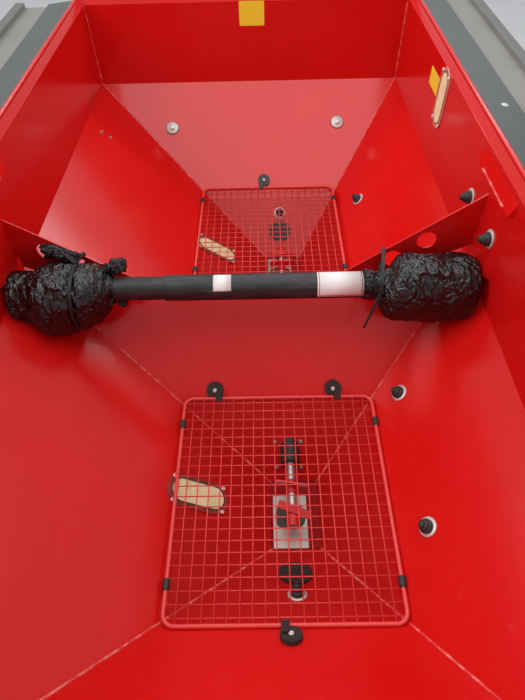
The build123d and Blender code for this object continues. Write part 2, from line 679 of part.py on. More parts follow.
def caps():
    low = WASHER_THICK
    cap = []
    for radius, length in CAP_STEPS:
        cap.append(Pos(0, 0, low) * extrude(RegularPolygon(radius, CAP_SIDES), amount=length))
        low += length
    cap = cap[0] + cap[1:]
    made = [plane * cap for plane in bolt_planes()]
    return Compound(children=made + [mirrored(cap) for cap in made])


def bracket(x):
    """Welded bracket between the front slope and the machine's frame: pad, two webs and face plate."""
    def outer_y(z):
        return -slope_y(FRONT_REACH, FRONT_DEG, z) - SHEET / math.sin(math.radians(FRONT_DEG))

    thick = BRACKET_PLATE
    web = Polyline((outer_y(BRACKET_LOW_Z), BRACKET_LOW_Z), (outer_y(BRACKET_HIGH_Z), BRACKET_HIGH_Z),
                   (BRACKET_FACE_Y, BRACKET_HIGH_Z), (BRACKET_FACE_Y, BRACKET_LOW_Z), close=True)
    web = extrude(Plane.YZ * make_face(web), amount=thick / 2, both=True)
    face = Pos(0, BRACKET_FACE_Y + thick / 2, (BRACKET_LOW_Z + BRACKET_HIGH_Z) / 2) * Box(
        BRACKET_WIDTH, thick, BRACKET_HIGH_Z - BRACKET_LOW_Z)
    pad_outline = Polyline((outer_y(BRACKET_LOW_Z), BRACKET_LOW_Z),
                           (outer_y(BRACKET_HIGH_Z), BRACKET_HIGH_Z),
                           (outer_y(BRACKET_HIGH_Z) - thick, BRACKET_HIGH_Z),
                           (outer_y(BRACKET_LOW_Z) - thick, BRACKET_LOW_Z), close=True)
    pad = extrude(Plane.YZ * make_face(pad_outline), amount=BRACKET_WIDTH / 2, both=True)
    made = face + pad + Pos(-BRACKET_WEB_X, 0, 0) * web + Pos(BRACKET_WEB_X, 0, 0) * web
    for z in (MOUNT_Z - BOLT_SPACING_Z / 2, MOUNT_Z + BOLT_SPACING_Z / 2):
        made -= Pos(0, BRACKET_FACE_Y, z) * Rot(90, 0, 0) * Cylinder(BOLT_HOLE_R, 4 * thick)
    return Pos(x, 0, 0) * made


def along_y(start, end, radius):
    return Pos(DRIVE_X, (start + end) / 2, DRIVE_Z) * Rot(90, 0, 0) * Cylinder(radius, abs(end - start))


def bag(rings, out, slope):
    """Film bag round a shaft end, through rings of (distance from the middle plane, radius)."""
    sections = []
    for y, radius in rings:
        plane = Plane(origin=(DRIVE_X, out * y, DRIVE_Z), x_dir=(1, 0, 0), z_dir=(0, out, 0))
        sections.append(plane * RegularPolygon(radius, FILM_SIDES, rotation=180 / FILM_SIDES))
    made = loft(sections, ruled=True)
    gap = 2 * FIT_GAP
    past_gusset = Pos(WHOLE - GUSSET_SHEET / 2 - gap, 0, 0) * Box(2 * WHOLE, 2 * WHOLE, 2 * WHOLE)
    return made - behind(slope, gap) - behind(RIDGE_SLOPE, gap) - past_gusset


def tie_y(foot):
    """Distance of a cable tie from the middle plane: at the side of the gusset's first hole."""
    return foot + GUSSET_HOLES[0] - TIE_OFF_HOLE


def bags():
    """The two film bags: the front one to the wall, the rear one with a waist at its cable tie."""
    neck_end = tie_y(FRONT_GUSSET_FOOT) + TIE_WIDTH
    front_end = FRONT_FOLD_Y - FRONT_BAG_END_GAP
    front = [(DRIVE_FRONT_Y, BAG_NECK_R), (neck_end, BAG_NECK_R), (neck_end + BAG_SHOULDER, FRONT_BELLY_R),
             (front_end - BAG_SHOULDER, FRONT_BELLY_R), (front_end, FRONT_END_R)]
    waist = tie_y(REAR_GUSSET_FOOT)
    rear_end = REAR_FOLD_Y - REAR_BAG_END_GAP
    belly = DRIVE_REAR_Y + REAR_NECK_LENGTH + BAG_SHOULDER
    rear = [(DRIVE_REAR_Y, BAG_NECK_R), (DRIVE_REAR_Y + REAR_NECK_LENGTH, BAG_NECK_R),
            (belly, REAR_BELLY_R), (waist - BAG_SHOULDER, REAR_BELLY_R), (waist - TIE_WIDTH, REAR_WAIST_R),
            (waist + TIE_WIDTH, REAR_WAIST_R), (waist + BAG_SHOULDER, REAR_BELLY_R),
            (rear_end - 2 * BAG_SHOULDER, REAR_BELLY_R), (rear_end - BAG_SHOULDER, REAR_LOBE_R),
            (rear_end, REAR_LOBE_R)]
    return bag(front, -1, FRONT_SLOPE), bag(rear, 1, REAR_SLOPE)


def tie(end_y, foot, height, grip_r):
    """Cable tie round a bag, over the gusset's edge and back through its hole."""
    out = math.copysign(1.0, end_y)
    end = abs(end_y)
    y = tie_y(foot)
    top = gusset_edge(end, foot, height, y + TIE_WIDTH / 2) + TIE_RISE
    bottom = gusset_hole_z(end, foot, height, foot + GUSSET_HOLES[0])
    held = Pos(DRIVE_X, DRIVE_Z) * RegularPolygon(grip_r + FIT_GAP, FILM_SIDES, rotation=180 / FILM_SIDES)
    post = Pos(GUSSET_SHEET / 2 + TIE_PAST, (top + bottom) / 2) * Rectangle(TIE_PAST / 2, top - bottom)
    inner = make_hull((held + post).edges())
    band = offset(inner, TIE_THICK, kind=Kind.INTERSECTION) - inner
    plane = Plane(origin=(0, out * y, 0), x_dir=(1, 0, 0), z_dir=(0, -1, 0))
    return extrude(plane * band, amount=TIE_WIDTH / 2, both=True)


def build():
    front_end = -(FRONT_FOLD_Y - STIFFENER_DEPTH)
    rear_end = REAR_FOLD_Y - STIFFENER_DEPTH
    nodes = shell_panels()
    nodes.update(rims())
    nodes.update(covers())
    nodes["stiffener_front"] = stiffener(-FRONT_FOLD_Y)
    nodes["stiffener_rear"] = stiffener(REAR_FOLD_Y)
    nodes["gusset_front"] = gusset(front_end, FRONT_GUSSET_FOOT, FRONT_GUSSET_HEIGHT)
    nodes["gusset_rear"] = gusset(rear_end, REAR_GUSSET_FOOT, REAR_GUSSET_HEIGHT)
    pairs = {
        "floor_pan": floor_pan(),
        "shutter": shutter(),
        "agitator_shaft": agitator_shaft(),
        "agitator_star": agitator_star(),
        "bearing": bearing(),
        "shaft_boot": boot(),
        "end_plug": end_plug(),
    }
    for name, shape in pairs.items():
        nodes[name + "_right"] = shape
        nodes[name + "_left"] = mirrored(shape)
    # The left-hand sieve lies a little further to the rear than the right-hand one.
    latch_shift = LATCH_LEFT_GAP * MESH_PITCH
    sieve_parts = {
        "sieve_mesh": (sieve(), 0.0),
        "sieve_sleeves": (sleeves(), 0.0),
        "sieve_latch": (latch(), latch_shift),
        "sieve_clips": (ridge_clips(), 0.0),
    }
    for name, (shape, shift) in sieve_parts.items():
        nodes[name + "_right"] = shape
        nodes[name + "_left"] = Pos(0, SIEVE_LEFT_SHIFT + shift, 0) * mirrored(shape)
    panes = windows()
    nodes["sight_windows"] = Compound(children=panes + [mirrored(pane) for pane in panes])
    nodes["bolt_washers"] = washers()
    nodes["bolt_caps"] = caps()
    for name, x in [("inner", BRACKET_X[0]), ("outer", BRACKET_X[1])]:
        nodes[f"{name}_bracket_right"] = bracket(-x)
        nodes[f"{name}_bracket_left"] = bracket(x)
    nodes["drive_shaft_outer"] = along_y(-DRIVE_FRONT_Y, DRIVE_STEP_Y, DRIVE_OUTER_R)
    nodes["drive_shaft_inner"] = along_y(DRIVE_STEP_Y, DRIVE_REAR_Y, DRIVE_INNER_R)
    nodes["shaft_bag_front"], nodes["shaft_bag_rear"] = bags()
    nodes["shaft_tie_front"] = tie(front_end, FRONT_GUSSET_FOOT, FRONT_GUSSET_HEIGHT, BAG_NECK_R)
    nodes["shaft_tie_rear"] = tie(rear_end, REAR_GUSSET_FOOT, REAR_GUSSET_HEIGHT, REAR_WAIST_R)
    return nodes


os.makedirs("parts", exist_ok=True)
to_mount = Pos(0, -BRACKET_FACE_Y, -MOUNT_Z)
for node, shape in build().items():
    export_step(to_mount * shape, f"parts/{node}.step")
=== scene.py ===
import math

import bmesh
import bpy
import numpy as np
from mathutils import Matrix, Vector, noise


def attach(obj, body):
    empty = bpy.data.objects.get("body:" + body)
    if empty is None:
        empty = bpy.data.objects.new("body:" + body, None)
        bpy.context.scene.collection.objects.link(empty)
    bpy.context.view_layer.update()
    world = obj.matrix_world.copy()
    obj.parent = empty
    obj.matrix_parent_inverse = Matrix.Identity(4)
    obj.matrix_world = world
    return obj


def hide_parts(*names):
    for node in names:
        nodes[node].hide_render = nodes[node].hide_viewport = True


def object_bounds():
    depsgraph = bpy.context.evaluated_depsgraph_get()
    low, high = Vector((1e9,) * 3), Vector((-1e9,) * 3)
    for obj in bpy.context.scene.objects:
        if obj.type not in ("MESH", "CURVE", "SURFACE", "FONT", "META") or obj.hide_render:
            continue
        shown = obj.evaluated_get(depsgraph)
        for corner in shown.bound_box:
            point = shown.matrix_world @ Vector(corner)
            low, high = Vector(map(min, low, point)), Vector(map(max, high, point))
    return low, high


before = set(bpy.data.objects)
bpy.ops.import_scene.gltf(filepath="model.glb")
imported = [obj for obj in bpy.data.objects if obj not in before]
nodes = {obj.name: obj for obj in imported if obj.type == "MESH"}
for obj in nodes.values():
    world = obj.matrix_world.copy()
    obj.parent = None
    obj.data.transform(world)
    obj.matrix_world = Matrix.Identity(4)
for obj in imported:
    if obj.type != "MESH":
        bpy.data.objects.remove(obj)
solid_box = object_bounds()


# The view: a person stands at the right-hand end of the hopper and looks down into it along its length.
# Sizes are drawn in millimetres from the middle of the ridge, and spot() takes them to metres from the
# frame bolts, where the part has its origin.
RIDGE_Y, RIDGE_Z = 545.0, -70.0


def spot(x, y, z):
    return Vector((x, y + RIDGE_Y, z + RIDGE_Z)) / 1000


def add(name, data):
    """A new object in the scene."""
    made = bpy.data.objects.new(name, data)
    bpy.context.scene.collection.objects.link(made)
    return made


yaw, pitch, roll = (math.radians(a) for a in (0.845, 49.948, -1.646))
ahead = Vector((math.cos(yaw) * math.cos(pitch), math.sin(yaw) * math.cos(pitch), -math.sin(pitch)))
level = Vector((math.sin(yaw), -math.cos(yaw), 0))
above = level.cross(ahead)
across = math.cos(roll) * level + math.sin(roll) * above
upward = math.cos(roll) * above - math.sin(roll) * level
camera_data = bpy.data.cameras.new("view")
camera_data.sensor_fit = "VERTICAL"
camera_data.sensor_height = 36.0
camera_data.lens = 27.10
camera = add("view", camera_data)
camera.matrix_world = Matrix((across, upward, -ahead)).transposed().to_4x4()
camera.matrix_world.translation = spot(-1100.0, 27.8, 1242.3)
bpy.context.scene.camera = camera


# The studio: a pale floor under the hopper, a soft panel overhead like an overcast sky, and an even
# grey world.
def lamp(name, place, aim, width, depth, power):
    data = bpy.data.lights.new(name, "AREA")
    data.shape = "RECTANGLE"
    data.size = width
    data.size_y = depth
    data.energy = power
    made = add(name, data)
    made.matrix_world = (Vector(aim) - Vector(place)).to_track_quat("-Z", "Y").to_matrix().to_4x4()
    made.matrix_world.translation = Vector(place)


lamp("overhead_panel", (0.2, 0.5, 3.4), (0.0, 0.6, 0.0), 3.2, 2.4, 50.0)
lamp("rear_panel", (-0.3, 3.3, 2.5), (0.0, 0.2, 0.0), 2.6, 1.6, 46.0)
lamp("end_panel", (2.9, 0.9, 2.5), (-0.2, 0.5, 0.0), 1.6, 1.2, 12.0)
lamp("sky_strip", (2.4, -0.1, 1.9), (0.0, 0.2, 0.2), 2.2, 0.16, 10.0)
world = bpy.data.worlds.new("studio")
world.use_nodes = True
background = world.node_tree.nodes["Background"].inputs
background["Color"].default_value = (0.93, 0.95, 1.0, 1)
background["Strength"].default_value = 0.58
bpy.context.scene.world = world
bpy.context.scene.view_settings.view_transform = "Standard"
floor_z = solid_box[0][2] - 0.30
floor_mesh = bpy.data.meshes.new("floor")
floor_mesh.from_pydata([(x, y, floor_z) for x, y in ((-9, -9), (9, -9), (9, 9), (-9, 9))], [], [(0, 1, 2, 3)])
floor = add("floor", floor_mesh)
floor_paint = bpy.data.materials.new("floor_paint")
floor_paint.use_nodes = True
floor_look = floor_paint.node_tree.nodes["Principled BSDF"].inputs
floor_look["Base Color"].default_value = (0.80, 0.80, 0.79, 1)
floor_look["Roughness"].default_value = 0.7
floor_mesh.materials.append(floor_paint)


# Hopper sheets: 3 mm steel, bent and welded, powder coated in a glossy red that shows faint orange peel,
# a little dust and the sky. Shade is painted on it: darker and rougher below the sieves, and near black
# below the top of the outlets. Walls, slopes, rims, gussets, stiffeners and brackets are coated together.
def wire_up(tree, kind, settings, inputs, out):
    """Any node: its settings first, then the values or links of its sockets."""
    made = tree.nodes.new(kind)
    for name, value in (settings or {}).items():
        setattr(made, name, value)
    for name, value in (inputs or {}).items():
        for one in value if isinstance(value, list) else [value]:
            one = one.socket if isinstance(one, Tone) else one
            if isinstance(one, bpy.types.NodeSocket):
                tree.links.new(one, made.inputs[name])
            else:
                made.inputs[name].default_value = one
    return made.outputs[out]


class Tone:
    """A value or colour inside a finish. Sums on values add their Math nodes."""

    def __init__(self, tree, socket=None):
        self.tree = tree
        self.socket = socket

    def node(self, kind, settings=None, inputs=None, out=0):
        return Tone(self.tree, wire_up(self.tree, kind, settings, inputs, out))

    def sum(self, operation, a, b=0.0):
        return self.node("ShaderNodeMath", {"operation": operation}, {0: a, 1: b})

    def __add__(self, other):
        return self.sum("ADD", self, other)

    __radd__ = __add__

    def __sub__(self, other):
        return self.sum("SUBTRACT", self, other)

    def __rsub__(self, other):
        return self.sum("SUBTRACT", other, self)

    def __mul__(self, other):
        return self.sum("MULTIPLY", self, other)

    __rmul__ = __mul__

    def __gt__(self, other):
        return self.sum("GREATER_THAN", self, other)

    def __lt__(self, other):
        return self.sum("LESS_THAN", self, other)

    def clip(self):
        return self.node("ShaderNodeClamp", None, {0: self})

    def between(self, low, high):
        """0 at low, 1 at high, eased."""
        return self.node("ShaderNodeMapRange", {"interpolation_type": "SMOOTHSTEP"},
                         {0: self, 1: low, 2: high, 3: 0.0, 4: 1.0})

    def blend(self, a, b):
        """Colour a where this is 0, colour b where it is 1."""
        return self.node("ShaderNodeMix", {"data_type": "RGBA"}, {0: self, 6: a, 7: b}, 2)

    def cloud(self, scale, detail=2.0, rough=0.5):
        """Noise over this place."""
        return self.node("ShaderNodeTexNoise", None,
                         {"Vector": self, "Scale": scale, "Detail": detail, "Roughness": rough})

    def along(self, direction):
        """How far this place lies along a direction."""
        return self.node("ShaderNodeVectorMath", {"operation": "DOT_PRODUCT"}, {0: self, 1: direction}, 1)

    def part(self, axis):
        """This place's x, y or z, for axis 0, 1 or 2."""
        return self.node("ShaderNodeSeparateXYZ", None, {0: self}, axis)

    def stretched(self, x, y, z):
        """This place drawn out along the axes."""
        return self.node("ShaderNodeVectorMath", {"operation": "MULTIPLY"}, {0: self, 1: (x, y, z)})

    def relief(self, height, strength, distance):
        return self.node("ShaderNodeBump", None,
                         {"Height": height, "Strength": strength, "Distance": distance})


def finish(name):
    """A material, and where each point of the piece is."""
    made = bpy.data.materials.new(name)
    made.use_nodes = True
    place = Tone(made.node_tree).node("ShaderNodeTexCoord", out="Object")
    return made, place


def lay_on(material, **sockets):
    """Sets or links the shader's sockets. Words are joined with _."""
    shader = material.node_tree.nodes["Principled BSDF"]
    for name, value in sockets.items():
        slot = shader.inputs[name.replace("_", " ").title().replace("Ior", "IOR")]
        if isinstance(value, Tone):
            material.node_tree.links.new(value.socket, slot)
        else:
            slot.default_value = value


def mottled(name, dark, pale, cloud, rough, vary, bump=None, drawn=(1, 1, 1), **sockets):
    """A finish that clouds between two colours and is rougher where it is pale."""
    made, place = finish(name)
    tone = place.stretched(*drawn).cloud(*cloud)
    if bump:
        sockets["normal"] = place.relief(tone, *bump)
    lay_on(made, base_color=tone.blend(dark, pale), roughness=rough + tone * vary, **sockets)
    return made


def coat(material, *names):
    for name in names:
        mesh = nodes[name].data
        mesh.materials.clear()
        mesh.materials.append(material)


red_paint, place = finish("red_powder_coat")
drift = place.cloud(2.6, 3.0)
peel = place.cloud(210.0, 1.0)
dust = place.cloud(34.0, 5.0, 0.62).between(0.56, 0.78)
specks = place.cloud(560.0, 0.0).between(0.74, 0.78) * place.cloud(9.0, 2.0).between(0.45, 0.62)
deep = drift.blend((0.610, 0.0060, 0.0052, 1), (0.700, 0.0088, 0.0066, 1))
dusty = (dust * 0.07).blend(deep, (0.66, 0.14, 0.11, 1))
speckled = (specks * 0.08).blend(dusty, (0.80, 0.50, 0.44, 1))
# Painted shade: darker and rougher below the sieves, near black and rough below the outlets' top.
OUTLET_TOP, SIEVE_LOW, SIEVE_HIGH = -0.2545, -0.120, -0.066
shaded = place.part(2) < OUTLET_TOP
sieve_shade = 1.0 - place.part(2).between(SIEVE_LOW, SIEVE_HIGH)
sieve_shaded = (sieve_shade * 0.60).blend(speckled, (0.42, 0.006, 0.006, 1))
sunk = (shaded * 0.85).blend(sieve_shaded, (0.30, 0.003, 0.003, 1))
lay_on(red_paint, base_color=sunk,
       roughness=0.14 + drift * 0.08 + dust * 0.05 + shaded * 0.55 + sieve_shade * 0.16,
       normal=place.relief(peel, 0.10, 0.0006), specular_ior_level=0.45)
for side in ("right", "left"):
    coat(red_paint, f"rear_slope_{side}", f"front_slope_{side}", f"ridge_slope_{side}",
         f"end_slope_{side}", f"end_wall_{side}", f"inner_bracket_{side}", f"outer_bracket_{side}",
         f"rim_{side}")
coat(red_paint, "front_wall", "rear_wall", "rim_front", "rim_rear", "gusset_front", "gusset_rear",
     "stiffener_front", "stiffener_rear")


# Weld seams: the slopes meet at the corners of each funnel and are welded from inside, in short uneven
# ripples that take the red coat more roughly, with paler patches painted on them as highlights. A slope is
# given by its place at z = 0 and its run out for each mm of height. Narrow wedges close the stiffeners'
# undersides.
class Form:
    """A geometry tree: named sizes go in, a mesh of one finish comes out."""

    def __init__(self, name):
        self.tree = bpy.data.node_groups.new(name, "GeometryNodeTree")
        self.tree.interface.new_socket("Mesh", in_out="OUTPUT", socket_type="NodeSocketGeometry")
        self.tree.interface.new_socket("Carrier", in_out="INPUT", socket_type="NodeSocketGeometry")
        self.inlet = self.tree.nodes.new("NodeGroupInput")
        self.outlet = self.tree.nodes.new("NodeGroupOutput")
        self.carrier = self.inlet.outputs[0]
        self.sizes = {}

    def size(self, name, value, kind="Float"):
        item = self.tree.interface.new_socket(name, in_out="INPUT", socket_type="NodeSocket" + kind)
        self.sizes[item.identifier] = value
        return self.inlet.outputs[name]

    def node(self, kind, settings=None, inputs=None, out=0):
        return wire_up(self.tree, kind, settings, inputs, out)

    def mesh(self, name, shape, material, points=(), edges=(), turns=None, smooth=True):
        """The tree's result on a carrier of points, as a plain mesh."""
        if smooth:
            shape = self.node("GeometryNodeSetShadeSmooth", None, {0: shape})
        shape = self.node("GeometryNodeRealizeInstances", None, {0: shape})
        shape = self.node("GeometryNodeSetMaterial", None, {0: shape, "Material": material})
        self.tree.links.new(shape, self.outlet.inputs[0])
        carrier_mesh = bpy.data.meshes.new(name + "_carrier")
        carrier_mesh.from_pydata([tuple(p) for p in points], list(edges), [])
        if turns is not None:
            turned = carrier_mesh.attributes.new("turn", "FLOAT_VECTOR", "POINT")
            turned.data.foreach_set("vector", np.array(turns, np.float32).ravel())
        carrier = add(name + "_carrier", carrier_mesh)
        modifier = carrier.modifiers.new("form", "NODES")
        modifier.node_group = self.tree
        for identifier, value in self.sizes.items():
            modifier[identifier] = value
        bpy.context.view_layer.update()
        evaluated = carrier.evaluated_get(bpy.context.evaluated_depsgraph_get())
        made = bpy.data.meshes.new_from_object(evaluated)
        made.name = name
        carrier.modifiers.remove(modifier)
        bpy.data.objects.remove(carrier)
        return made


def fit(name, mesh, body, slot, *replaced):
    """Puts a finished mesh on its body, in place of the solids it stands for."""
    made = add(name, mesh)
    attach(made, body)
    if replaced:
        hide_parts(*replaced)
    return made


def cast(name, body, material, smooth=False):
    """A plain mesh of one finish, from what was drawn."""
    mesh = bpy.data.meshes.new(name)
    body.to_mesh(mesh)
    body.free()
    mesh.materials.append(material)
    if smooth:
        for face in mesh.polygons:
            face.use_smooth = True
    return mesh


def strokes(lines):
    """The points and edges of separate straight lines."""
    points = [spot(*place) for line in lines for place in line]
    return points, [(i, i + 1) for i in range(0, len(points), 2)]


weld_paint, place = finish("welded_red")
ripple = place.cloud(420.0, 3.0, 0.7)
# Painted highlight: paler patches on the weld beads.
weld_glints = place.cloud(60.0, 3.0).between(0.42, 0.70)
weld_red = weld_glints.blend((0.70, 0.030, 0.026, 1), (0.86, 0.230, 0.190, 1))
lay_on(weld_paint, base_color=weld_red, roughness=0.30 + ripple * 0.2,
       normal=place.relief(ripple, 0.35, 0.0008))
RIDGE_X, END_X, FRONT_Y, REAR_Y = 226.5, 834.6, 276.0, 296.0
RIDGE_RUN, END_RUN, FRONT_RUN, REAR_RUN = (
    1.0 / math.tan(math.radians(a)) for a in (46.4, 38.5, 48.15, 34.5))
FLOOR_LOW, FOLD, WALL_TOP, RIDGE_TOP = -187.0, 278.0, 564.0, RIDGE_X / RIDGE_RUN
FRONT_WALL, REAR_WALL = -525.0, 700.5
WALLS = ((FRONT_WALL, -1), (REAR_WALL, 1))


def ridge_out(z):
    return RIDGE_X - RIDGE_RUN * z


def end_out(z):
    return END_X + END_RUN * z


def funnel_corner(side, out, out_x, z):
    """Where two slopes of a funnel meet at a height."""
    out_y = FRONT_Y + FRONT_RUN * z if out < 0 else REAR_Y + REAR_RUN * z
    return side * out_x(z), out * out_y, z


beads = Form("weld_beads")
bead_step = beads.size("Step", 0.0026)
bead_width = beads.size("Width", 0.0037)
line = beads.node("GeometryNodeMeshToCurve", None, {0: beads.carrier})
line = beads.node("GeometryNodeResampleCurve", {"mode": "LENGTH"}, {0: line, "Length": bead_step})
tangent = beads.node("GeometryNodeInputTangent")
turn = beads.node("FunctionNodeAlignRotationToVector", {"axis": "X"}, {"Vector": tangent})
jitter = beads.node("FunctionNodeRandomValue", {"data_type": "FLOAT_VECTOR"},
                    {0: (1.05, 0.85, 0.80), 1: (1.5, 1.15, 1.1), "Seed": 11})
grain = beads.node("GeometryNodeMeshIcoSphere", None, {"Radius": bead_width, "Subdivisions": 1})
row = beads.node("GeometryNodeInstanceOnPoints", None,
                 {"Points": line, "Instance": grain, "Rotation": turn, "Scale": jitter})
seams = []
for side in (-1, 1):
    for wall_y, out in WALLS:
        at_fold = funnel_corner(side, out, end_out, FOLD)
        seams += [(funnel_corner(side, out, ridge_out, RIDGE_TOP),
                   funnel_corner(side, out, ridge_out, FLOOR_LOW)),
                  (at_fold, funnel_corner(side, out, end_out, FLOOR_LOW)),
                  (at_fold, (at_fold[0], at_fold[1], WALL_TOP))]
seams += [((x, y_from, RIDGE_TOP + 0.5), (x, y_to, RIDGE_TOP + 0.5))
          for x in (-2.5, 2.5) for y_from, y_to in ((-152.0, -273.0), (368.0, 545.0))]
seams += [((-84.0, wall_y - out * 13.5, 525.0), (74.0, wall_y - out * 13.5, 525.0)) for wall_y, out in WALLS]
closing = bmesh.new()
for wall_y, out in WALLS:
    ends = [[closing.verts.new(spot(x, wall_y - out * off, z))
             for off, z in ((0.2, 558.0), (0.2, 524.2), (14.3, 524.2))] for x in (-124.0, 124.0)]
    for i in range(3):
        j = (i + 1) % 3
        closing.faces.new([ends[0][i], ends[0][j], ends[1][j], ends[1][i]])
    closing.faces.new(ends[0])
    closing.faces.new(ends[1])
bmesh.ops.recalc_face_normals(closing, faces=closing.faces)
fit("stiffener_closings", cast("stiffener_closings", closing, red_paint), "hopper", "red_paint")
fit("weld_seams", beads.mesh("weld_seams", row, weld_paint, *strokes(seams)), "hopper", "red_paint")


# Grey side covers: folded sheet in a dark satin coat along both long sides, a step lower towards the
# outside, on Z-shaped hangers. Thin pale strips on the folds stand for worn paint and a painted highlight,
# and the lower tray is painted paler and browner.
grey_paint, place = finish("grey_powder_coat")
cover_dirt = place.cloud(7.0, 5.0, 0.65)
scuffs = place.stretched(4.0, 60.0, 60.0).cloud(3.0, 4.0, 0.7).between(0.60, 0.72)
across_cover = place.part(1)
TRAY_FRONT, TRAY_REAR, LIP_FRONT, LIP_REAR = -0.102, 1.3675, -0.195, 1.4605
tray = (across_cover < TRAY_FRONT) + (across_cover > TRAY_REAR)
lip = (across_cover < LIP_FRONT) + (across_cover > LIP_REAR)
grey = cover_dirt.blend((0.056, 0.065, 0.064, 1), (0.098, 0.106, 0.102, 1))
# The lower tray is painted paler and browner.
tray_paler = (tray * (0.55 + cover_dirt * 0.5)).clip().blend(grey, (0.260, 0.245, 0.220, 1))
capped = (lip * 0.7).blend(tray_paler, (0.085, 0.082, 0.080, 1))
worn = (scuffs * 0.30).blend(capped, (0.30, 0.30, 0.28, 1))
lay_on(grey_paint, base_color=worn, roughness=0.36 + cover_dirt * 0.14,
       normal=place.relief(place.cloud(260.0, 1.0), 0.12, 0.0006))
coat(grey_paint, "side_cover_front", "side_cover_rear", "cover_hangers_front", "cover_hangers_rear")
# Painted highlight and wear: the fold edge strips are pale.
edge_grey = mottled("cover_edges_worn_and_highlit", (0.20, 0.20, 0.19, 1), (0.62, 0.60, 0.55, 1), (9.0, 4.0, 0.7),
                    0.34, 0.2, drawn=(1.0, 12.0, 12.0))
folds = Form("cover_folds")
fold_r = folds.size("Fold radius", 0.0014)
fold_line = folds.node("GeometryNodeMeshToCurve", None, {0: folds.carrier})
fold_ring = folds.node("GeometryNodeCurvePrimitiveCircle", None, {"Resolution": 10, "Radius": fold_r})
fold_bar = folds.node("GeometryNodeCurveToMesh", None,
                      {0: fold_line, "Profile Curve": fold_ring, "Fill Caps": True})
fold_lines = [((-1164.0, wall_y + out * off, z), (1164.0, wall_y + out * off, z)) for wall_y, out in WALLS
              for off, z in ((30.4, 587.4), (121.6, 577.6), (216.4, 583.6), (241.6, 583.6))]
fit("cover_fold_edges", folds.mesh("cover_fold_edges", fold_bar, edge_grey, *strokes(fold_lines)),
    "hopper", "grey_paint")


# Sieves: a bent 10 mm rod with 3 mm wires welded across in two layers, dipped in a red plastic coat that
# is paler and softer than the sheet's. Each sieve tilts on its rod at the ridge.
sieve_coat, place = finish("red_wire_coat")
drips = place.cloud(90.0, 3.0)
worn_spots = place.cloud(240.0, 2.0).between(0.62, 0.74)
wire_red = drips.blend((0.72, 0.036, 0.034, 1), (0.86, 0.085, 0.070, 1))
lay_on(sieve_coat, base_color=(worn_spots * 0.25).blend(wire_red, (0.80, 0.32, 0.27, 1)),
       roughness=0.34 + drips * 0.12, normal=place.relief(drips, 0.2, 0.0008))
SIEVES = (("right", -1, 0.0), ("left", 1, 14.0))
SIEVE_X = 530.0
for side, turned_x, shift in SIEVES:
    form = Form("sieve_" + side)
    centre = spot(turned_x * SIEVE_X, shift, 0.0)
    rod_r = form.size("Rod radius", 0.005)
    wire_r = form.size("Wire radius", 0.0015)
    pitch_m = form.size("Mesh pitch", 0.028)
    long_side = form.size("Length", 0.592)
    short_side = form.size("Width", 0.530)
    bend = form.size("Corner radius", 0.026)
    outline = form.node("GeometryNodeCurvePrimitiveQuadrilateral", None,
                        {"Width": long_side, "Height": short_side})
    outline = form.node("GeometryNodeFilletCurve", {"mode": "POLY"},
                        {"Curve": outline, "Radius": bend, "Count": 10, "Limit Radius": True})
    ring = form.node("GeometryNodeCurvePrimitiveCircle", None, {"Resolution": 14, "Radius": rod_r})
    rod = form.node("GeometryNodeCurveToMesh", None, {0: outline, "Profile Curve": ring})
    parts = [rod]
    for count, along_x, length, lift in ((18, False, long_side, 0.0018), (21, True, short_side, -0.0018)):
        wire = form.node("GeometryNodeMeshCylinder", None,
                         {"Vertices": 10, "Radius": wire_r, "Depth": length}, "Mesh")
        start = form.node("ShaderNodeMath", {"operation": "MULTIPLY"}, {0: pitch_m, 1: -(count - 1) / 2})
        low = form.node("ShaderNodeCombineXYZ", None, {0 if along_x else 1: start, 2: lift})
        step = form.node("ShaderNodeCombineXYZ", None, {0 if along_x else 1: pitch_m})
        rank = form.node("GeometryNodeMeshLine", {"mode": "OFFSET"},
                         {"Count": count, "Start Location": low, "Offset": step})
        parts.append(form.node("GeometryNodeInstanceOnPoints", None, {
            "Points": rank, "Instance": wire,
            "Rotation": (math.pi / 2, 0, 0) if along_x else (0, math.pi / 2, 0)}))
    whole = form.node("GeometryNodeJoinGeometry", None, {0: parts})
    whole = form.node("GeometryNodeTransform", None, {0: whole, "Translation": tuple(centre)})
    sieve_mesh = form.mesh("sieve_" + side, whole, sieve_coat, [(0, 0, 0)])
    fit("sieve_" + side, sieve_mesh, "sieve_" + side, "red_coating", "sieve_mesh_" + side)


# Rubber sleeves on the side rods and the clips that hold a sieve: black moulded pieces, matte, the clips
# each with a pale screw in the middle of a round body and a tail over the rod.
def turned_piece(name, profile, segments, material):
    """A closed turned shape from (radius, height) points, bottom to top."""
    body = bmesh.new()
    rings = []
    for r, z in profile:
        if r < 1e-9:
            rings.append([body.verts.new((0, 0, z / 1000))])
        else:
            rings.append([body.verts.new((r / 1000 * math.cos(a), r / 1000 * math.sin(a), z / 1000))
                          for a in (2 * math.pi * i / segments for i in range(segments))])
    for low, high in zip(rings, rings[1:]):
        for i in range(segments):
            j = (i + 1) % segments
            corners = [low[i % len(low)], low[j % len(low)], high[j % len(high)], high[i % len(high)]]
            body.faces.new(list(dict.fromkeys(corners)))
    bmesh.ops.recalc_face_normals(body, faces=body.faces)
    return cast(name, body, material, True)


